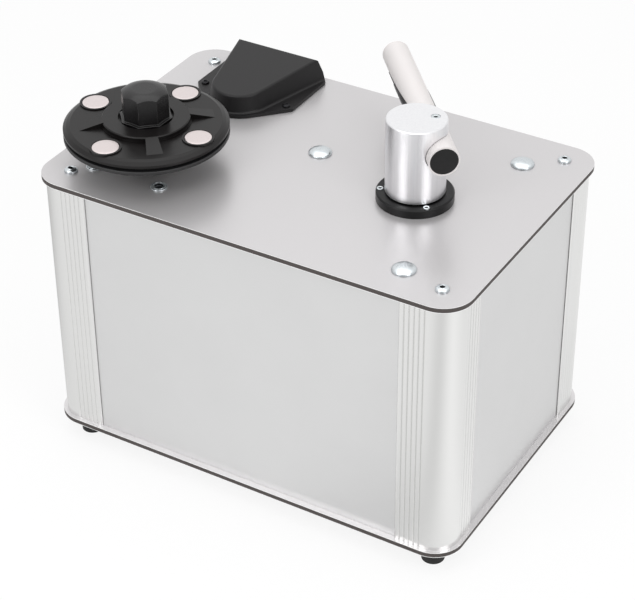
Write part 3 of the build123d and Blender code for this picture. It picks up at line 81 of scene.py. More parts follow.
DECK = top("deck_plate")
BASE = bottom("base_plate")
PLATE_T = DECK - bottom("deck_plate")
SPINDLE = middle("spindle")[:2]
POST = middle("arm_post")[:2]
# The arm at rest: its turn about the post, and its tube's axis beside the post's and above the
# floor.
ARM_TURN = np.radians(40.7)
TUBE_X = 12.8
TUBE_Z = 270.2

# ------------------------------------------------------------------ node trees of materials

# Sockets by number: a Mix node takes its share at 0 and its two numbers at 2 and 3, vectors at
# 4 and 5 or colours at 6 and 7, and gives them at outputs 0, 1 and 2. A MapRange node takes its
# value at 0, the range it comes from at 1 and 2, and the range it goes to at 3 and 4.


def add(tree, kind, inputs=(), **settings):
    """Add one shader node: settings are its properties, and inputs its sockets by name or
    number, each a constant or an output of another node."""
    made = tree.nodes.new("ShaderNode" + kind)
    for key, value in settings.items():
        setattr(made, key, value)
    for key, value in dict(inputs).items():
        if isinstance(value, bpy.types.NodeSocket):
            tree.links.new(value, made.inputs[key])
        else:
            made.inputs[key].default_value = value
    return made


def srgb(code):
    """Linear and opaque colour of an sRGB hex code such as D8D9DB."""
    c = np.array([int(code[i : i + 2], 16) for i in (0, 2, 4)]) / 255
    linear = np.where(c <= 0.04045, c / 12.92, ((c + 0.055) / 1.055) ** 2.4)
    return (*linear, 1.0)


def start(name, colour, roughness, metallic=0.0, **shader):
    """A material with one Principled shader, and the Object coordinates its patterns use."""
    material = bpy.data.materials.new(name)
    material.use_nodes = True
    tree = material.node_tree
    tree.nodes.clear()
    constants = {"Base Color": srgb(colour), "Roughness": roughness, "Metallic": metallic}
    constants.update({key.replace("_", " "): value for key, value in shader.items()})
    surface = add(tree, "BsdfPrincipled", constants)
    add(tree, "OutputMaterial", {"Surface": surface.outputs[0]})
    place = add(tree, "TexCoord").outputs["Object"]
    return material, tree, surface, place


def tint(tree, surface, share, low, high):
    """Colour that goes from one hex to another with a pattern's share."""
    mix = add(tree, "Mix", {0: share, 6: srgb(low), 7: srgb(high)}, data_type="RGBA")
    tree.links.new(mix.outputs[2], surface.inputs["Base Color"])


def vary(tree, surface, share, low, high):
    """Roughness that goes from low to high with a pattern's share."""
    spread = add(tree, "MapRange", {0: share, 3: low, 4: high})
    tree.links.new(spread.outputs[0], surface.inputs["Roughness"])


def relief(tree, surface, height, depth):
    """Bump of a pattern whose full height is depth millimetres."""
    bump = add(tree, "Bump", {"Height": height, "Distance": depth * MM})
    tree.links.new(bump.outputs[0], surface.inputs["Normal"])


def grain(tree, place, size, detail=2.0, stretch=(1, 1, 1)):
    """Noise whose spots are size millimetres across, and longer along an axis whose stretch is
    under 1."""
    spread = add(tree, "Mapping", {"Vector": place, "Scale": stretch})
    scale = 1 / (size * MM)
    noise = add(tree, "TexNoise", {"Vector": spread.outputs[0], "Scale": scale, "Detail": detail})
    return noise.outputs[0]


def height_of(tree, place):
    """Height above the floor, in metres."""
    return add(tree, "SeparateXYZ", {0: place}).outputs[2]


def maths(tree, operation, *values):
    """Sum, product, comparison or other operation on numbers and outputs."""
    return add(tree, "Math", dict(enumerate(values)), operation=operation).outputs[0]


# ------------------------------------------------------------------ metals


def composite_plate():
    """Aluminium composite sheet, lacquered silver and sawn to shape: two satin skins 0.4 mm
    thick over a black polyethylene core, which shows as a dull band round each edge. The sawn
    skins are bare and bright. The lacquer is smooth over fine metal flakes, so the deck mirrors
    what stands on it as a soft stain. The base plate's colour is a shade lighter: painted light."""
    skin_t, skin_roughness, skin_metallic = 0.4, 0.33, 0.54
    lacquered = ("lacquered_composite", "C9C7C8", skin_roughness, skin_metallic)
    material, tree, surface, place = start(*lacquered)
    up = height_of(tree, place)
    middles = (BASE + PLATE_T / 2, DECK - PLATE_T / 2)
    away = [maths(tree, "ABSOLUTE", maths(tree, "SUBTRACT", up, z * MM)) for z in middles]
    nearest = maths(tree, "MINIMUM", *away)
    core = maths(tree, "LESS_THAN", nearest, (PLATE_T / 2 - skin_t) * MM)
    side = add(tree, "SeparateXYZ", {0: add(tree, "NewGeometry").outputs["True Normal"]})
    flat = maths(tree, "ABSOLUTE", side.outputs[2])
    edge = maths(tree, "LESS_THAN", flat, 0.5)
    speck = grain(tree, place, 0.6)
    saw = grain(tree, place, 0.5, stretch=(1, 1, 0.15))
    flake = add(tree, "Mix", {0: speck, 6: srgb("C6C4C5"), 7: srgb("CCCACB")}, data_type="RGBA")
    # painted light: below mid-height, the base plate is coloured a shade lighter than the deck,
    # for the light that falls on its low margin
    foot = maths(tree, "LESS_THAN", up, (BASE + DECK) / 2 * MM)
    base_painted_light = {0: foot, 6: flake.outputs[2], 7: srgb("D9D7D8")}
    lacquer = add(tree, "Mix", base_painted_light, data_type="RGBA")
    skins = {0: edge, 6: lacquer.outputs[2], 7: srgb("F6F6F6")}
    skin = add(tree, "Mix", skins, data_type="RGBA")
    both = {0: core, 6: skin.outputs[2], 7: srgb("484240")}
    mixed = add(tree, "Mix", both, data_type="RGBA")
    tree.links.new(mixed.outputs[2], surface.inputs["Base Color"])
    metal = add(tree, "MapRange", {0: core, 3: skin_metallic, 4: 0.0})
    tree.links.new(metal.outputs[0], surface.inputs["Metallic"])
    vary(tree, surface, core, skin_roughness, 0.7)
    relief(tree, surface, maths(tree, "MULTIPLY", saw, core), 0.08)
    return material


def anodised_sheet():
    """Anodised aluminium sheet with a fine matt etch: an even pale grey, with hardly any
    grain to be seen, that blurs whatever it mirrors."""
    material, tree, surface, place = start("etched_anodised_sheet", "DADADA", 0.42, 0.9)
    cloud = grain(tree, place, 40, 3.0)
    etch = grain(tree, place, 0.5)
    tint(tree, surface, cloud, "D8D8D8", "DCDCDC")
    vary(tree, surface, etch, 0.38, 0.46)
    relief(tree, surface, etch, 0.004)
    return material


def anodised_profile():
    """Extruded and anodised aluminium: brighter than the sheet and smoother, with hardly
    visible lines that the die draws along its length."""
    material, tree, surface, place = start("anodised_extrusion", "E2E2E1", 0.24, 1.0)
    die_line = grain(tree, place, 0.25, 1.0, (1, 1, 0.004))
    tint(tree, surface, die_line, "E1E1E0", "E3E3E2")
    vary(tree, surface, die_line, 0.22, 0.26)
    return material


def turned_aluminium():
    """Aluminium turned on a lathe and anodised: tool marks run round it, so that lamps stretch
    into upright streaks."""
    shader = {"Anisotropic": 0.75, "Anisotropic_Rotation": 0.25}
    material, tree, surface, place = start("turned_aluminium", "EAEAEC", 0.3, 1.0, **shader)
    tool_mark = grain(tree, place, 0.35, 2.0, (0.02, 0.02, 1))
    upright = grain(tree, place, 1.1, 2.0, (1, 1, 0.01))
    tint(tree, surface, upright, "E3E3E6", "F2F2F3")
    vary(tree, surface, tool_mark, 0.26, 0.34)
    around = add(tree, "Tangent", direction_type="RADIAL", axis="Z").outputs[0]
    facing = add(tree, "NewGeometry").outputs["True Normal"]
    level = maths(tree, "GREATER_THAN", add(tree, "SeparateXYZ", {0: facing}).outputs[2], 0.5)
    sockets = {0: level, 4: around, 5: (0.8, -0.6, 0)}
    brushed = add(tree, "Mix", sockets, data_type="VECTOR")
    tree.links.new(brushed.outputs[1], surface.inputs["Tangent"])
    relief(tree, surface, tool_mark, 0.008)
    return material


def anodised_tube():
    """Drawn aluminium tube, anodised silver: pale, smooth and nearly white."""
    material, tree, surface, place = start("anodised_drawn_tube", "DEDAD9", 0.55, 0.3)
    haze = grain(tree, place, 1.2, 3.0)
    tint(tree, surface, haze, "DCD8D7", "E0DCDB")
    vary(tree, surface, haze, 0.5, 0.6)
    return material


def zinc_plate():
    """Bright zinc plating on steel screws: silvery with a cool cast, cloudy from the bath."""
    material, tree, surface, place = start("bright_zinc_plate", "CDD2D4", 0.28, 1.0)
    cloud = grain(tree, place, 2.2, 4.0)
    tint(tree, surface, cloud, "BEC5C9", "D9DDDF")
    vary(tree, surface, cloud, 0.22, 0.36)
    relief(tree, surface, grain(tree, place, 0.4), 0.01)
    return material


def black_oxide():
    """Blackened steel screw: oiled oxide, dark and a little uneven."""
    material, tree, surface, place = start("black_oxide_steel", "1C1C1E", 0.38, 0.7)
    cloud = grain(tree, place, 1.1, 3.0)
    tint(tree, surface, cloud, "141416", "2A2A2D")
    vary(tree, surface, cloud, 0.3, 0.48)
    return material


def painted_socket_shade():
    """Dark paint for the deep end of a screw's socket: painted shade, for the shade that falls
    deep in the socket.
    """
    material, tree, surface, place = start("socket_painted_shade", "222426", 0.5, 0.4)
    cloud = grain(tree, place, 0.5)
    tint(tree, surface, cloud, "1B1D1F", "2C2F31")
    vary(tree, surface, cloud, 0.42, 0.58)
    return material


def machined_steel():
    """Ground steel, with a fine coat of oil."""
    material, tree, surface, place = start("ground_steel", "B4B6B8", 0.3, 1.0)
    mark = grain(tree, place, 0.4, 2.0, (0.1, 0.1, 1))
    tint(tree, surface, mark, "A6A8AB", "BEC0C2")
    vary(tree, surface, mark, 0.24, 0.38)
    relief(tree, surface, mark, 0.006)
    return material


def spring_steel():
    """Hard-drawn spring wire: grey with dark draw marks."""
    material, tree, surface, place = start("spring_wire", "8E9195", 0.32, 1.0)
    mark = grain(tree, place, 0.5, 3.0)
    tint(tree, surface, mark, "777A7F", "9DA0A4")
    vary(tree, surface, mark, 0.26, 0.42)
    return material


def nickel_plate():
    """Nickel plating on pressed magnets: warm silver, softly matt from the pressing."""
    material, tree, surface, place = start("nickel_plated_magnet", "DAD0CF", 0.33, 1.0)
    pit = grain(tree, place, 0.7, 3.0)
    tint(tree, surface, pit, "D5CBCA", "DFD6D5")
    vary(tree, surface, pit, 0.24, 0.36)
    relief(tree, surface, pit, 0.006)
    return material


def cut_brass():
    """Brass cut on a lathe: yellow, with bright tool marks."""
    material, tree, surface, place = start("cut_brass", "C8A765", 0.25, 1.0)
    mark = grain(tree, place, 0.3, 2.0, (0.1, 0.1, 1))
    tint(tree, surface, mark, "B99552", "D6B878")
    vary(tree, surface, mark, 0.18, 0.32)
    return material


def wound_steel():
    """Motor iron with its copper: laminations as fine level lines, tinted by enamelled wire."""
    material, tree, surface, place = start("laminated_motor_iron", "8A6A58", 0.42, 1.0)
    sheet = grain(tree, place, 0.5, 1.0, (0.01, 0.01, 1))
    tint(tree, surface, sheet, "6E625C", "A97050")
    vary(tree, surface, sheet, 0.34, 0.5)
    relief(tree, surface, sheet, 0.05)
    return material


def black_anodised():
    """Aluminium turned and anodised black: deep black with a dull sheen."""
    material, tree, surface, place = start("black_anodised_aluminium", "101011", 0.3, 0.5)
    mark = grain(tree, place, 0.3, 2.0, (0.05, 0.05, 1))
    tint(tree, surface, mark, "0D0D0E", "141415")
    vary(tree, surface, mark, 0.3, 0.42)
    return material


def black_paint():
    """Powder paint on the platter: matt black with a fine orange-peel skin."""
    material, tree, surface, place = start("black_powder_paint", "1B1B1C", 0.5)
    peel = grain(tree, place, 0.9)
    tint(tree, surface, peel, "181819", "1F1F20")
    vary(tree, surface, peel, 0.44, 0.56)
    relief(tree, surface, peel, 0.02)
    return material


# ------------------------------------------------------------------ plastics, rubber and cloth


def hood_plastic():
    """ABS sheet-moulded hood: dark grey-black with a soft satin skin that shows the lamps as
    wide pale patches."""
    shader = {"Specular_IOR_Level": 0.3}
    material, tree, surface, place = start("satin_abs_hood", "141314", 0.42, **shader)
    skin = grain(tree, place, 0.45)
    tint(tree, surface, skin, "121112", "171617")
    vary(tree, surface, skin, 0.38, 0.46)
    relief(tree, surface, skin, 0.008)
    return material


def clamp_plastic():
    """Moulded acetal clamp: black, smooth and satin, with faint flow marks."""
    shader = {"Specular_IOR_Level": 0.27}
    material, tree, surface, place = start("moulded_acetal", "100E0E", 0.3, **shader)
    flow = grain(tree, place, 6.0, 3.0)
    tint(tree, surface, flow, "0E0C0C", "131111")
    vary(tree, surface, flow, 0.26, 0.34)
    relief(tree, surface, grain(tree, place, 1.4), 0.003)
    return material


def handled_plastic():
    """The knob's acetal: the same black, burnished by hands, so that its flat top shines."""
    shader = {"Specular_IOR_Level": 0.44}
    material, tree, surface, place = start("handled_acetal", "0B0A0B", 0.26, **shader)
    wear = grain(tree, place, 4.0, 3.0)
    tint(tree, surface, wear, "090809", "0E0C0D")
    vary(tree, surface, wear, 0.22, 0.3)
    relief(tree, surface, grain(tree, place, 1.4), 0.003)
    return material


def polished_plastic():
    """Polished black ABS, as on plugs and rocker keys: a clear dark mirror."""
    shader = {"Specular_IOR_Level": 0.3}
    material, tree, surface, place = start("polished_abs", "050505", 0.1, **shader)
    swirl = grain(tree, place, 3.0, 3.0)
    tint(tree, surface, swirl, "040404", "070707")
    vary(tree, surface, swirl, 0.07, 0.14)
    return material


def moulded_plastic():
    """Glass-filled nylon, moulded with a spark-eroded texture: matt black."""
    material, tree, surface, place = start("spark_textured_nylon", "1D1D1E", 0.55)
    spark = grain(tree, place, 0.5)
    tint(tree, surface, spark, "191919", "232324")
    vary(tree, surface, spark, 0.48, 0.62)
    relief(tree, surface, spark, 0.03)
    return material


def tank_plastic():
    """Natural polyethylene pot, blown in a mould: milky and waxy."""
    shader = {"Subsurface_Weight": 0.2, "Subsurface_Scale": 0.004}
    material, tree, surface, place = start("natural_polyethylene", "E4E2DA", 0.42, **shader)
    cloud = grain(tree, place, 14, 3.0)
    tint(tree, surface, cloud, "DDDAD0", "E9E7E0")
    vary(tree, surface, cloud, 0.36, 0.48)
    return material


def clear_tube():
    """Clear PVC tube: soft, glassy and faintly blue."""
    shader = {"Transmission_Weight": 0.9, "IOR": 1.53}
    material, tree, surface, place = start("clear_pvc_tube", "E8F0F2", 0.08, **shader)
    haze = grain(tree, place, 4.0, 2.0)
    tint(tree, surface, haze, "E0EBEE", "F0F5F6")
    vary(tree, surface, haze, 0.05, 0.12)
    return material


def rubber():
    """Moulded rubber: near black, dull, with a bloom of dust in its pores."""
    material, tree, surface, place = start("moulded_rubber", "1B1B1B", 0.7)
    pore = grain(tree, place, 0.6, 3.0)
    tint(tree, surface, pore, "161616", "242423")
    vary(tree, surface, pore, 0.62, 0.8)
    relief(tree, surface, pore, 0.02)
    return material


def mat_foam():
    """Closed-cell rubber sheet: dark grey with open cut cells."""
    material, tree, surface, place = start("cellular_rubber_sheet", "262627", 0.85)
    scale = {"Vector": place, "Scale": 1 / (0.7 * MM)}
    cell = add(tree, "TexVoronoi", scale).outputs["Distance"]
    tint(tree, surface, cell, "1C1C1D", "303031")
    relief(tree, surface, cell, 0.06)
    return material


def velvet():
    """Woven velvet with a short dense pile: dark grey, with a pale sheen where the pile tips
    catch light. The pile is drawn 0.4 mm wide, coarser than real, so that it shows."""
    shader = {"Sheen_Weight": 0.6, "Sheen_Roughness": 0.4}
    material, tree, surface, place = start("pile_velvet", "4A4A4C", 0.9, **shader)
    pile = grain(tree, place, 0.4, 3.0)
    tint(tree, surface, pile, "343436", "606063")
    relief(tree, surface, pile, 0.25)
    return material


def hose_rubber():
    """Reinforced grey PVC hose: dull, with a faint weave showing through."""
    material, tree, surface, place = start("reinforced_pvc_hose", "6F7173", 0.5)
    weave = grain(tree, place, 1.5, 1.0)
    tint(tree, surface, weave, "66686A", "7A7C7E")
    relief(tree, surface, weave, 0.05)
    return material


def circuit_board():
    """Glass-epoxy board under green solder resist; its tall parts are dark varnished steel."""
    material, tree, surface, place = start("solder_resist_board", "1F4A36", 0.35)
    up = height_of(tree, place)
    # the board and its low parts end below this height
    low_end = bottom("power_board") + 9.5
    tall = maths(tree, "GREATER_THAN", up, low_end * MM)
    trace = grain(tree, place, 2.5, 0.0, (1, 0.2, 1))
    resist = add(tree, "Mix", {0: trace, 6: srgb("1B4432"), 7: srgb("25573F")}, data_type="RGBA")
    both = {0: tall, 6: resist.outputs[2], 7: srgb("35332F")}
    mixed = add(tree, "Mix", both, data_type="RGBA")
    tree.links.new(mixed.outputs[2], surface.inputs["Base Color"])
    relief(tree, surface, trace, 0.03)
    return material


FINISHES = {
    "composite_plate": composite_plate(),
    "profile": anodised_profile(),
    "panel": anodised_sheet(),
    "turned_aluminium": turned_aluminium(),
    "anodised_tube": anodised_tube(),
    "zinc_steel": zinc_plate(),
    "black_screw": black_oxide(),
    "steel": machined_steel(),
    "spring_steel": spring_steel(),
    "nickel": nickel_plate(),
    "brass": cut_brass(),
    "copper_steel": wound_steel(),
    "anodised_black": black_anodised(),
    "platter_black": black_paint(),
    "cover_plastic": hood_plastic(),
    "clamp_plastic": clamp_plastic(),
    "black_gloss": polished_plastic(),
    "black_plastic": moulded_plastic(),
    "tank_plastic": tank_plastic(),
    "clear_tube": clear_tube(),
    "rubber": rubber(),
    "mat_rubber": mat_foam(),
    "velvet": velvet(),
    "hose_grey": hose_rubber(),
    "board": circuit_board(),
}
# painted shade: a dark paint for the deep end of screw sockets
SOCKET_SHADE = painted_socket_shade()

for part in frame["record"]["subparts"]:
    shown = nodes[part["node"]]
    shown.data.materials.clear()
    shown.data.materials.append(FINISHES[part["material_slot"]])

# ------------------------------------------------------------------ surfaces in numpy


def web(points, row_start):
    """Vertices and quads of a grid of points whose columns close on themselves: quad (i, j)
    joins rows i and i + 1 with columns j and j + 1, and the last column joins the first."""
    rows, columns = points.shape[:2]
    index = row_start + np.arange(rows * columns).reshape(rows, columns)
    beside = np.roll(index, -1, axis=1)
    quads = np.stack([index[:-1], beside[:-1], beside[1:], index[1:]], axis=-1)
    return points.reshape(-1, 3), quads.reshape(-1, 4)


def piece(name, grids, finish, body, node, crease=32, sockets=0):
    """Object of one or more closed grids, in place of a CAD node. Equal points are joined, so
    that a row drawn to one point closes as a pole. The last sockets rows of each grid, the
    deep end of a screw's socket, are painted dark: painted shade for the socket's depth."""
    points, quads, shaded_faces, start_at = [], [], [], 0
    for g in grids:
        p, q = web(np.asarray(g), start_at)
        points.append(p)
        quads.append(q)
        shaded_faces.append(np.arange(len(q)) >= len(q) - sockets * g.shape[1])
        start_at += len(p)
    mesh = bpy.data.meshes.new(name)
    mesh.from_pydata(np.concatenate(points) * MM, [], np.concatenate(quads))
    mesh.materials.append(FINISHES[finish])
    # faces deep in a socket are painted dark: painted shade
    if sockets:
        mesh.materials.append(SOCKET_SHADE)
        mesh.polygons.foreach_set("material_index", np.concatenate(shaded_faces).astype(np.int32))
    solid = bmesh.new()
    solid.from_mesh(mesh)
    bmesh.ops.remove_doubles(solid, verts=solid.verts, dist=1e-7)
    bmesh.ops.recalc_face_normals(solid, faces=solid.faces)
    solid.to_mesh(mesh)
    solid.free()
    mesh.shade_smooth()
    mesh.set_sharp_from_angle(angle=np.radians(crease))
    made = bpy.data.objects.new(name, mesh)
    bpy.context.scene.collection.objects.link(made)
    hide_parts(node)
    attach(made, body)
    return made


def rings(radii, heights, sides=48):
    """Grid of rings about Z: ring i has radii[i], a number or one radius for each side, and
    lies at heights[i]. Point (i, j) is (r cos a, r sin a, h) with a = j turns / sides."""
    angle = np.arange(sides) * TURN / sides
    r = np.array([np.broadcast_to(row, sides) for row in radii], float)
    h = np.array([np.broadcast_to(row, sides) for row in heights], float)
    return np.stack([r * np.cos(angle), r * np.sin(angle), h], axis=-1)


def hex_radius(flats, sides=48):
    """Radius of a hexagon at each side's angle: half the width across flats over the cosine
    of the angle from the nearest flat's middle."""
    angle = np.arange(sides) * TURN / sides
    off = (angle + TURN / 12) % (TURN / 6) - TURN / 12
    return flats / 2 / np.cos(off)


def arc(r0, h0, r1, h1, steps, bulge):
    """Quarter of an ellipse between two (radius, height) points: bulge 1 leaves the first one
    upright, and bulge -1 leaves it level."""
    t = np.linspace(0, TURN / 4, steps)
    across, along = (1 - np.cos(t), np.sin(t)) if bulge > 0 else (np.sin(t), 1 - np.cos(t))
    return r0 + (r1 - r0) * across, h0 + (h1 - h0) * along


def screw(head_r, head_h, edge, shank_r, shank_l, flats, socket, crown=0.0):
    """Screw that points down, with the underside of its head at height 0: a shank, a head whose
    edge is a quarter of an ellipse of the given width, a crowned top, and a hexagon socket of
    the given width across flats and depth, whose mouth is bevelled by a little more than its
    corners."""
    drop = max(edge * 0.7, crown)
    edge_r, edge_h = arc(head_r, head_h - crown - drop, head_r - edge, head_h - crown, 6, 1)
    mouth = flats / 2 / np.cos(TURN / 12) + 0.15
    hexagon = hex_radius(flats)
    rest = np.linspace(head_r - edge, mouth, 4)[1:]
    share = (head_r - edge - rest) / (head_r - edge - mouth)
    radii = [0, shank_r * 0.8, shank_r, shank_r, head_r - 0.2, head_r, *edge_r, *rest]
    heights = [-shank_l, -shank_l, -shank_l + 0.5, 0, 0, 0.2, *edge_h]
    heights += list(head_h - crown * (1 - share) ** 2)
    radii += [hexagon, hexagon, 0]
    heights += [head_h - 0.3, head_h - socket, head_h - socket]
    return rings(radii, heights)


def dome_screw(head_r, head_h, rim, shank_r, shank_l):
    """Coach-bolt head on a shank: an upright rim, then a low dome that follows an ellipse."""
    dome_r, dome_h = arc(head_r, rim, 0, head_h, 12, 1)
    radii = [0, shank_r, shank_r, head_r - 0.3, head_r, *dome_r]
    heights = [-shank_l, -shank_l, 0, 0, 0.25, *dome_h]
    return rings(radii, heights, 64)


def at(grid, x, y, z, flip=False, turn=0.0):
    """Grid turned about Z, upside down if flip, and moved."""
    c, s = np.cos(turn), np.sin(turn)
    turned = grid @ np.array([[c, s, 0], [-s, c, 0], [0, 0, 1]])
    return turned * [1, 1, -1 if flip else 1] + [x, y, z]


# ------------------------------------------------------------------ corner extrusions


def upright(section, low, high):
    """Grid of a bar that stands from low to high. Its section is two rows of points (x, y), an
    outer and an inner one that meet at both ends: row i of the grid goes up the outer point i
    and down the inner point i, so that each pair makes the walls and both caps."""
    outer, inner = section
    corners = [(outer, low), (outer, high), (inner, high), (inner, low)]
    columns = [np.column_stack([xy, np.full(len(xy), z)]) for xy, z in corners]
    return np.stack(columns, axis=1)


def plank(start, end, width, low, high):
    """Upright bar with a plain oblong section along a line from start to end."""
    start, end = np.array(start, float), np.array(end, float)
    along = (end - start) / np.linalg.norm(end - start)
    side = np.array([-along[1], along[0]]) * width / 2
    stations = np.array([start, start, end, end])
    offsets = side * np.array([0, 1, 1, 0])[:, None]
    return upright((stations + offsets, stations - offsets), low, high)


# In plan: a corner's screw, from the machine's middle, the radius round the outside of the
# bend, the wall, the length of both legs from the corner, the slot that holds a panel, and
# the grooves along each leg.
CORNER_SCREW = np.array([146.0, 92.0])
BEND_R = 19.2
WALL = 1.8
FRONT_LEG, SIDE_LEG = 41.0, 38.0
PANEL_SLOT = 2.2
GROOVES, GROOVE_PITCH, GROOVE_W = 5, 3.72, 1.9


def grooved_leg(length, first, deep):
    """Distances from the corner, and depths below the face, along a leg from its end: a round
    lip that is undercut where it meets the panel, a quarter of an ellipse below its nose and
    another above it, and then a flat face with grooves from the first one's distance on, each
    shaped as the fourth power of a cosine."""
    t = np.linspace(-TURN / 4, TURN / 4, 17)
    undercut, lip_w, undercut_w, step = 0.25, 2.2, 0.9, 0.05
    nose = WALL - undercut
    lip_u = length - np.where(t < 0, undercut_w, lip_w) * (1 - np.cos(t))
    lip_d = nose - np.where(t < 0, undercut, nose) * np.sin(t)
    # the face runs from just inside the lip to just short of the bend
    u = np.arange(length - 2.3, 19.6, -step)
    from_groove = np.abs(u[:, None] - first - GROOVE_PITCH * np.arange(GROOVES))
    share = np.clip(from_groove / (GROOVE_W / 2), 0, 1)
    depth = deep * np.cos(TURN / 4 * share) ** 4
    return np.append(lip_u, u), np.append(lip_d, depth.sum(axis=1))


def corner_extrusion(node, sx, sy):
    """Grids of one corner extrusion: a shell whose section runs from the lip of the front or
    rear leg, round the bend, to the lip of the side leg, with the walls inside that hold the
    panels, and the screw boss on its web."""
    (low_x, low_y, low), (high_x, high_y, high) = np.array(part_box(node)) / MM
    out_x, out_y = (high_x if sx > 0 else -low_x), (high_y if sy > 0 else -low_y)
    u1, d1 = grooved_leg(FRONT_LEG, first=21.8, deep=0.72)
    u2, d2 = grooved_leg(SIDE_LEG, first=19.4, deep=1.4)
    u2, d2 = u2[::-1], d2[::-1]
    a = np.linspace(TURN / 4, 0, 33)
    bend = np.column_stack([np.cos(a), np.sin(a)])
    centre = np.array([out_x - BEND_R, out_y - BEND_R])
    outer = [
        np.column_stack([out_x - u1, out_y - d1]),
        centre + BEND_R * bend,
        np.column_stack([out_x - d2, out_y - u2]),
    ]
    inner = [
        np.column_stack([out_x - u1, 0 * u1 + out_y - WALL]),
        centre + (BEND_R - WALL) * bend,
        np.column_stack([0 * u2 + out_x - WALL, out_y - u2]),
    ]
    grids = [upright((np.concatenate(outer), np.concatenate(inner)), low, high)]

    # walls behind both panels: in x and y they lie deep below the faces and start at back
    wall_t = 1.3
    deep, back = WALL + PANEL_SLOT + wall_t / 2, 33.35
    walls = [
        ((back, deep), (FRONT_LEG, deep)),
        ((deep, back), (deep, SIDE_LEG)),
        ((back, 1), (back, deep)),
        ((1, back), (deep, back)),
    ]
    face = np.array([out_x, out_y])
    for start_at, end_at in walls:
        grids.append(plank(face - start_at, face - end_at, wall_t, low, high))

    boss_r, hole_r, web_t = 5.5, 2.55, 2.4
    to_bend = centre + (BEND_R - WALL / 2) * np.sqrt(0.5)
    out = (to_bend - CORNER_SCREW) / np.linalg.norm(to_bend - CORNER_SCREW)
    grids.append(plank(CORNER_SCREW + (boss_r - 0.5) * out, to_bend, web_t, low, high))
    tube = rings([hole_r, boss_r, boss_r, hole_r, hole_r], [low, low, high, high, low])
    grids.append(tube + [*CORNER_SCREW, 0])
    return [g * [sx, sy, 1] for g in grids]


for letters, sx, sy in (("fl", -1, -1), ("fr", 1, -1), ("rl", -1, 1), ("rr", 1, 1)):
    node = "corner_profile_" + letters
    name = "corner_extrusion_" + letters
    piece(name, corner_extrusion(node, sx, sy), "profile", "cabinet", node)

# ------------------------------------------------------------------ fasteners


def around_post(part, radius, degrees, height, face_out=False):
    """Copies of a grid on a circle about the post, as they are or turned to face outwards."""
    made = []
    for a in np.radians(degrees):
        x, y = POST + radius * np.array([np.cos(a), np.sin(a)])
        made.append(at(part, x, y, height, turn=a if face_out else 0.0))
    return made


corner = screw(
    head_r=4.8, head_h=2.8, edge=2.2, shank_r=2.5, shank_l=26, flats=3.3, socket=1.1, crown=0.4
)
corners = [CORNER_SCREW * [sx, sy] for sx in (-1, 1) for sy in (-1, 1)]
# the sockets stand as the driver left them
corner_turns = (0.2, 0.75, 0.4, 0.55)
# the lower screws hold the feet, and their heads seat inside them
foot_seat = BASE - 9
corner_screws = [at(corner, *xy, DECK, turn=t) for xy, t in zip(corners, corner_turns)]
corner_screws += [at(corner, *xy, foot_seat, True, t) for xy, t in zip(corners, corner_turns)]
piece("corner_button_screws", corner_screws, "zinc_steel", "cabinet", "corner_screws", sockets=2)

bolt = dome_screw(head_r=8.45, head_h=3.6, rim=0.5, shank_r=2.9, shank_l=19)
tank_bolts = around_post(bolt, 88.3, (167.5, 60.0, -66.3), DECK)
piece("coach_bolt_heads", tank_bolts, "zinc_steel", "cabinet", "tank_bolts")

ring_screw = screw(
    head_r=2.3, head_h=2.0, edge=0.35, shank_r=1.2, shank_l=7.5, flats=2.0, socket=1.2
)
counterbore = 1.5
ring_seat = top("arm_base_ring") - counterbore
ring_screws = around_post(ring_screw, 23.9, (-155.0, -43.5, 81.0), ring_seat, face_out=True)
piece("base_ring_screws", ring_screws, "zinc_steel", "cabinet", "arm_base_screws", sockets=2)

hood_head_h = 1.9
hood_screw = screw(
    head_r=2.9,
    head_h=hood_head_h,
    edge=1.3,
    shank_r=1.45,
    shank_l=9.0,
    flats=2.0,
    socket=1.1,
    crown=0.3,
)
hood_x, hood_y, hood_z = (-131.5, -61.1), 57.3, top("cover_screws") - hood_head_h
hood_screws = [at(hood_screw, x, hood_y, hood_z, turn=0.3) for x in hood_x]
piece("hood_button_screws", hood_screws, "black_screw", "cabinet", "cover_screws", sockets=2)


def ringed_screw():
    """Motor screw with a flat round head, on which a half-round ring of radius 4.3 is pressed
    round a wide and shallow hexagon socket."""
    sides = 64
    edge_r, edge_z = arc(5.9, 0.7, 5.3, 1.2, 5, 1)
    t = np.linspace(0, TURN / 2, 13)
    ring_r, ring_z = 4.3 + 0.55 * np.cos(t), 1.2 + 0.45 * np.sin(t)
    socket = hex_radius(5.6, sides)
    radii = [0, 2.5, 2.5, 5.7, 5.9, *edge_r, *ring_r, 3.6, socket, socket, 0]
    heights = [-7.5, -7.5, 0, 0, 0.2, *edge_z, *ring_z, 1.1, 0.9, -0.4, -0.4]
    return rings(radii, heights, sides)


gear_screw, half_pitch = ringed_screw(), 27.2
gear_screws = [
    at(gear_screw, SPINDLE[0] + x, SPINDLE[1] + y, DECK, turn=0.5)
    for x in (-half_pitch, half_pitch)
    for y in (-half_pitch, half_pitch)
]
piece("gear_motor_screws", gear_screws, "zinc_steel", "cabinet", "motor_screws", sockets=2)

grub = screw(head_r=3.15, head_h=0.9, edge=0.25, shank_r=2.6, shank_l=3.0, flats=2.5, socket=0.5)
grub_xy = POST + TUBE_X * np.array([np.cos(ARM_TURN), np.sin(ARM_TURN)])
grub_z = top("arm_post") - 0.95
grubs = [at(grub, *grub_xy, grub_z, turn=0.2)]
piece("arm_grub_screw", grubs, "zinc_steel", "arm_swing", "arm_set_screw", sockets=1)

# ------------------------------------------------------------------ clamp and platter

CLAMP_TURN = np.radians(-3.35)


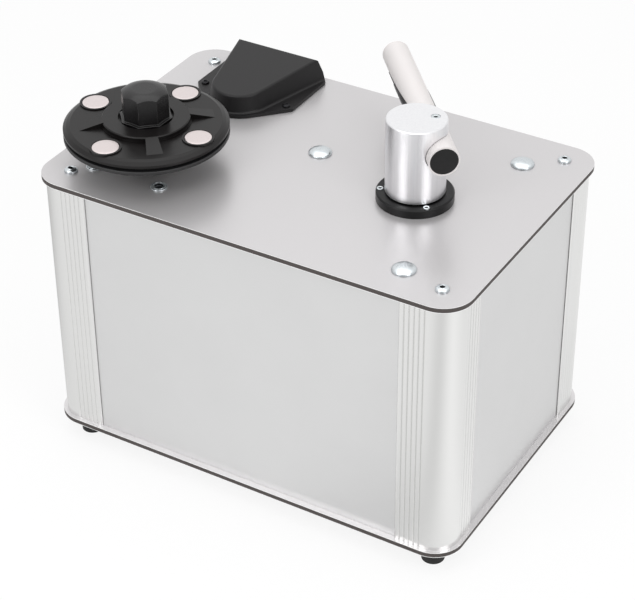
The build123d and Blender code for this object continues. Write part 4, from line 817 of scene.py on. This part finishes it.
def grip_knob():
    """Turning grip with eight hollow facets, with its heights above the deck. Round the knob
    its outline is, from each facet's middle, the near side of a circle of radius R whose centre
    lies D out: D cos a less the root of R squared less D squared sin squared a, evened out over
    a few degrees so that the corners are soft. The crown is a circle's arc in section, from the
    flat top out to the shoulder, cut off by the outline. The shoulder is a quadratic curve
    through the edge where crown and side would meet. A thin flange closes the foot, and a bore
    takes the threaded insert."""
    corner_r, hollow, facets, sides = 17.15, 0.55, 8, 240
    half_chord = corner_r * np.sin(TURN / 16)
    facet_r = (half_chord**2 + hollow**2) / (2 * hollow)
    centre = corner_r * np.cos(TURN / 16) - hollow + facet_r
    angle = np.arange(sides) * TURN / sides
    off = (angle + TURN / 16) % (TURN / facets) - TURN / 16
    outline = centre * np.cos(off) - np.sqrt(facet_r**2 - (centre * np.sin(off)) ** 2)
    shifts = np.arange(-3, 4)
    weight = np.exp(-((shifts / 1.4) ** 2))
    soft = sum(w * np.roll(outline, k) for k, w in zip(shifts, weight)) / weight.sum()

    # circle through the crown's three points in section
    (r0, z0), (r1, z1), (r2, z2) = (8.2, 57.0), (12.6, 56.2), (17.3, 53.7)
    across = np.array([[r1 - r0, z1 - z0], [r2 - r0, z2 - z0]])
    half = np.array([r1**2 - r0**2 + z1**2 - z0**2, r2**2 - r0**2 + z2**2 - z0**2]) / 2
    crown_r, crown_z = np.linalg.solve(across, half)
    size = np.hypot(r0 - crown_r, z0 - crown_z)

    def crown(r):
        """Height of the crown at a radius."""
        return crown_z + np.sign(z1 - crown_z) * np.sqrt(size**2 - (r - crown_r) ** 2)

    fillet = 0.45
    # two rows close together at the flat's edge keep that edge crisp
    shares = np.append(0, np.linspace(0.01, 1, 8))
    crown_rows = [r0 + t * (soft - fillet - r0) for t in shares]
    t = np.linspace(0, 1, 6)[1:, None]
    edge_r = (1 - t) ** 2 * (soft - fillet) + (1 - (1 - t) ** 2) * soft
    inner_z, edge_z = crown(soft - fillet), crown(soft)
    edge_rows = (1 - t) ** 2 * inner_z + 2 * t * (1 - t) * edge_z + t**2 * (edge_z - fillet)
    foot_r, foot_z = arc(0.0, 36.7, 0.5, 36.1, 4, 1)
    lip_r, lip_z = arc(1.6, 36.1, 2.1, 35.6, 5, -1)
    radii = [0, r0 - 0.05, *crown_rows, *edge_r, *(soft + r for r in (*foot_r, *lip_r))]
    heights = [z0, z0, *(crown(r) for r in crown_rows), *edge_rows, *foot_z, *lip_z]
    under, bore_r, bore_end = 33.2, 6.5, 48.0
    radii += [soft + 2.1, bore_r, bore_r, 0]
    heights += [under, under, bore_end, bore_end]
    return rings(radii, heights, sides)


knob = at(grip_knob(), *SPINDLE, DECK, turn=CLAMP_TURN)
grip = piece("grip_knob", [knob], "clamp_plastic", "clamp", "clamp_knob", crease=14)
# its slot stays clamp_plastic, but hands have polished what they hold
grip.data.materials[0] = handled_plastic()


MAGNET_R, MAGNET_T = 9.5, 3.0


def pressed_magnet():
    """Disc magnet with soft edges and a small chip in its rim, where the radius falls by half
    a millimetre as a bell curve of the angle."""
    sides = 96
    angle = np.arange(sides) * TURN / sides
    chip_at, chip_w, chip_deep = 4.1, 0.07, 0.45
    rim = MAGNET_R - chip_deep * np.exp(-(((angle - chip_at) / chip_w) ** 2))
    edge_r, edge_z = arc(0, 2.55, -0.45, MAGNET_T, 5, 1)
    foot_r, foot_z = arc(-0.3, 0, 0, 0.3, 4, -1)
    radii = [0, *(rim + r for r in foot_r), *(rim + r for r in edge_r), 6, 0]
    heights = [0, *foot_z, *edge_z, MAGNET_T, MAGNET_T]
    return rings(radii, heights, sides)


magnet, magnet_circle, magnet_z = pressed_magnet(), 45, top("clamp_magnets") - MAGNET_T
magnets = []
for a in CLAMP_TURN + np.arange(4) * TURN / 4:
    x, y = SPINDLE + magnet_circle * np.array([np.cos(a), np.sin(a)])
    # each chip points its own way
    magnets.append(at(magnet, x, y, magnet_z, turn=a * 3))
piece("pressed_magnets", magnets, "nickel", "clamp", "clamp_magnets")


def ribbed_sheet(inner, outer, low, high, pitch, depth):
    """Ring of rubber sheet whose top is ribbed in circles: its height falls below the top by
    the depth times a raised cosine of the radius over the pitch. It closes on its inner wall."""
    r = np.linspace(outer - 0.6, inner + 0.6, int((outer - inner) / pitch * 4))
    z = high - depth * (0.5 - 0.5 * np.cos(TURN * (outer - 0.6 - r) / pitch))
    radii = [inner, outer - 0.2, outer, outer, outer - 0.2, *r, inner, inner]
    heights = [low, low, low + 0.2, high - 0.2, high, *z, high, low]
    return rings(radii, heights, 144)


mat_low, mat_high = bottom("platter_mat"), top("platter_mat")
mat = ribbed_sheet(inner=5.0, outer=54.5, low=mat_low, high=mat_high, pitch=1.6, depth=0.12)
mat = at(mat, *SPINDLE, 0)
piece("ribbed_platter_mat", [mat], "mat_rubber", "platter_drive", "platter_mat", crease=50)

pad_low, pad_high = bottom("clamp_pad"), top("clamp_pad")
pad_t = pad_high - pad_low
pad = ribbed_sheet(inner=6.5, outer=54.0, low=0.0, high=pad_t, pitch=3.2, depth=0.15)
pad = at(pad, *SPINDLE, pad_high, flip=True)
piece("ribbed_clamp_pad", [pad], "rubber", "clamp", "clamp_pad", crease=50)


def threaded_spindle():
    """Shaft that goes up through the platter, and above it a thinner pin cut with a screw
    thread: its radius falls with a triangle wave of height over a pitch of 1 mm less the turns
    made round it. The pin ends in a chamfer."""
    sides, pitch, shaft_r, pin_r, thread_deep = 36, 1.0, 5.0, 3.5, 0.32
    low, high = bottom("spindle"), top("spindle")
    run = np.arange(mat_high + 0.6, high - 1.0, pitch / 6)
    turns = np.arange(sides) / sides
    phase = (run[:, None] / pitch - turns) % 1
    thread = pin_r - thread_deep * (1 - 2 * np.abs(phase - 0.5))
    z = np.broadcast_to(run[:, None], thread.shape)
    step_z = mat_high - 1.2
    radii = [0, shaft_r - 0.4, shaft_r, shaft_r, pin_r, pin_r, pin_r - 0.2, *thread]
    radii += [pin_r - thread_deep, pin_r - 1, 0]
    heights = [low, low, low + 0.4, step_z, step_z, mat_high + 0.2, mat_high + 0.4]
    heights += [*z, high - 0.8, high, high]
    return rings(radii, heights, sides)


pin = at(threaded_spindle(), *SPINDLE, 0)
piece("threaded_spindle", [pin], "steel", "platter_drive", "spindle")

# ------------------------------------------------------------------ velvet lips of the arm


def velvet_lip(side):
    """Strip of velvet beside the suction slot, along the tube. Its section runs round a
    superellipse of power 4 between the slot and the outer side, from its lowest point up to
    the shoe's circle, and the pile stands off it by a few sines of different lengths, whose
    crests cross the strip on the slant. At both ends the section shrinks to a point."""
    rows, columns = 150, 44
    near, far, taper = 40.3, 106.2, 1.2
    y = np.linspace(near, far, rows)[:, None]
    a = np.arange(columns)[None, :] * TURN / columns
    x_mid, half_w = side * 3.8, 2.3
    low, reach = -14.9, 10.35
    cx = np.sign(np.cos(a)) * np.abs(np.cos(a)) ** 0.5
    cz = np.sign(np.sin(a)) * np.abs(np.sin(a)) ** 0.5
    ends = np.clip(np.minimum(y - near, far - y) / taper, 0, 1)
    ends = np.sqrt(1 - (1 - ends) ** 2)
    pile = 0.1 * np.sin(9.0 * y + 5 * a) + 0.08 * np.sin(14.3 * y - 7 * a)
    pile = pile + 0.06 * np.sin(3.1 * y + 11 * a)
    x = x_mid + (half_w + pile) * cx * ends
    roof = -np.sqrt(reach**2 - np.clip(np.abs(x), 0, 7) ** 2)
    mid, half_h = (roof + low) / 2, (roof - low) / 2
    z = mid + (half_h + pile * (cz < 0.2)) * cz * ends
    y = np.broadcast_to(y, x.shape)
    c, s = np.cos(ARM_TURN), np.sin(ARM_TURN)
    ax = x + TUBE_X
    return np.stack([POST[0] + c * ax - s * y, POST[1] + s * ax + c * y, TUBE_Z + z], axis=-1)


lips = [velvet_lip(-1), velvet_lip(1)]
piece("velvet_lips", lips, "velvet", "arm_swing", "velvet_strips", crease=180)

# ------------------------------------------------------------------ return spring of the arm


def return_spring(low, high):
    """Flat wire, twice as wide as high, wound up a helix. Its section runs round a superellipse
    of power 4, and shrinks to a point at both ends."""
    rows, columns, coil_r, coils, wire_h = 240, 20, 13.65, 2.5, 0.8
    share = np.linspace(0, 1, rows)[:, None]
    a = np.arange(columns)[None, :] * TURN / columns
    from_end = np.clip(np.minimum(share, 1 - share) * rows / 3, 0, 1)
    half = wire_h / 2 * np.sqrt(1 - (1 - from_end) ** 2)
    radius = coil_r + 2 * half * np.sign(np.cos(a)) * np.abs(np.cos(a)) ** 0.5
    z = low + wire_h / 2 + (high - low - wire_h) * share
    z = z + half * np.sign(np.sin(a)) * np.abs(np.sin(a)) ** 0.5
    turn = coils * TURN * share
    return np.stack([radius * np.cos(turn), radius * np.sin(turn), z], axis=-1)


seat, collar = bottom("arm_spring"), top("arm_spring")
coil = at(return_spring(seat, collar), *POST, 0)
coil = piece("return_spring", [coil], "spring_steel", "cabinet", "arm_spring", crease=60)
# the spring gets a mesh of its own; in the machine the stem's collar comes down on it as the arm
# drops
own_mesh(coil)

# ------------------------------------------------------------------ camera, light and floor


def aim(place, azimuth, elevation, roll=0.0):
    """Matrix of a camera or lamp at a place, looking back along a direction given by its
    azimuth from -Y towards +X and its elevation: columns are right, up and backwards."""
    a, e, r = np.radians([azimuth, elevation, roll])
    back = np.array([np.sin(a) * np.cos(e), -np.cos(a) * np.cos(e), np.sin(e)])
    level = np.array([np.cos(a), np.sin(a), 0])
    rise = np.cross(back, level)
    right = np.cos(r) * level + np.sin(r) * rise
    up = np.cos(r) * rise - np.sin(r) * level
    turned = np.column_stack([right, up, back])
    return Matrix.Translation(place) @ Matrix(turned.tolist()).to_4x4()


camera = bpy.data.objects.new("camera", bpy.data.cameras.new("camera"))
camera.data.sensor_width = 36
camera.data.lens = 115.04
camera.data.clip_end = 50
camera.matrix_world = aim((0.622416, -1.045932, 0.96141), 30.817, 34.898, -0.432)
bpy.context.scene.collection.objects.link(camera)
bpy.context.scene.camera = camera
bpy.context.scene.view_settings.view_transform = "Standard"


def softbox(name, size, distance, azimuth, elevation, watts):
    """Square lamp that faces the machine's middle from a distance in metres, which is also
    the unit of its size."""
    lamp = bpy.data.objects.new(name, bpy.data.lights.new(name, "AREA"))
    lamp.data.shape = "SQUARE"
    lamp.data.size = size
    lamp.data.energy = watts
    a, e = np.radians([azimuth, elevation])
    away = np.array([np.sin(a) * np.cos(e), -np.cos(a) * np.cos(e), np.sin(e)])
    middle_height = 0.15
    lamp.matrix_world = aim(away * distance + [0, 0, middle_height], azimuth, elevation)
    bpy.context.scene.collection.objects.link(lamp)


softbox("softbox_overhead", size=2.2, distance=1.6, azimuth=0, elevation=88, watts=15)
softbox("softbox_left", size=0.8, distance=1.9, azimuth=-18, elevation=36, watts=8)
softbox("softbox_right", size=0.8, distance=1.9, azimuth=70, elevation=34, watts=8)

world = bpy.data.worlds.new("white_tent")
bpy.context.scene.world = world
world.use_nodes = True
sky = world.node_tree
sky.nodes.clear()
ray = add(sky, "LightPath")
# The tent's wall behind the machine is the brightest, and the side where the viewer stands
# is the darkest, in what the metal mirrors.
behind = np.array([-0.33, 0.55, 0.77])
toward = add(sky, "TexCoord").outputs["Generated"]
facing = add(sky, "VectorMath", {0: toward, 1: behind.tolist()}, operation="DOT_PRODUCT")
wall = add(sky, "MapRange", {0: facing.outputs["Value"], 1: -0.6, 2: 0.9, 3: 0.5, 4: 1.05})
plain = maths(sky, "MAXIMUM", ray.outputs["Is Camera Ray"], ray.outputs["Is Transmission Ray"])
mirrored = {0: ray.outputs["Is Glossy Ray"], 2: 0.62, 3: wall.outputs[0]}
level = add(sky, "Mix", mirrored, data_type="FLOAT").outputs[0]
level = add(sky, "Mix", {0: plain, 2: level, 3: 1.0}, data_type="FLOAT").outputs[0]
tent = add(sky, "Background", {"Color": srgb("FFFFFF"), "Strength": level})
add(sky, "OutputWorld", {"Surface": tent.outputs[0]})


def paper():
    """White backdrop paper: lit by the lamps, so that it keeps a soft shadow, with a share of
    its own white for the camera and for what metal mirrors. In what metal mirrors it is a
    little brighter below the right softbox, and darker between and beside the softboxes."""
    material = bpy.data.materials.new("backdrop_paper")
    material.use_nodes = True
    tree = material.node_tree
    tree.nodes.clear()
    eye = add(tree, "LightPath")
    place = add(tree, "TexCoord").outputs["Object"]
    away = add(tree, "VectorMath", {0: place}, operation="NORMALIZE").outputs[0]
    shares = []
    lobes = [(64, 0.16, 16), (38, -0.26, 16), (120, -0.04, 8), (-52, -0.06, 16), (-95, -0.45, 8)]
    for azimuth, strength, narrowness in lobes:
        a = np.radians(azimuth)
        spot = {0: away, 1: (np.sin(a), -np.cos(a), 0)}
        dot = add(tree, "VectorMath", spot, operation="DOT_PRODUCT").outputs["Value"]
        lobe = maths(tree, "POWER", maths(tree, "MAXIMUM", dot, 0.0), narrowness)
        shares.append(maths(tree, "MULTIPLY", lobe, strength))
    mirrored = 1.0
    for share in shares:
        mirrored = maths(tree, "ADD", mirrored, share)
    bright = {0: eye.outputs["Is Glossy Ray"], 2: 1.0, 3: mirrored}
    strength = add(tree, "Mix", bright, data_type="FLOAT").outputs[0]
    own_seen, own_mirrored = 0.84, 0.75
    seen = [eye.outputs["Is Camera Ray"], eye.outputs["Is Transmission Ray"]]
    own = maths(tree, "MULTIPLY", maths(tree, "MAXIMUM", *seen), own_seen)
    in_metal = maths(tree, "MULTIPLY", eye.outputs["Is Glossy Ray"], own_mirrored)
    own = maths(tree, "MAXIMUM", own, in_metal)
    lit = add(tree, "BsdfDiffuse", {"Color": srgb("F0F0F0")})
    white = add(tree, "Emission", {"Color": srgb("FFFFFF"), "Strength": strength})
    mix = add(tree, "MixShader", {0: own, 1: lit.outputs[0], 2: white.outputs[0]})
    add(tree, "OutputMaterial", {"Surface": mix.outputs[0]})
    return material


floor_mesh = bpy.data.meshes.new("paper_floor")
reach = 6.0
floor_corners = [(-reach, -reach, 0), (reach, -reach, 0), (reach, reach, 0), (-reach, reach, 0)]
floor_mesh.from_pydata(floor_corners, [], [(0, 1, 2, 3)])
floor_mesh.materials.append(paper())
floor = bpy.data.objects.new("paper_floor", floor_mesh)
bpy.context.scene.collection.objects.link(floor)
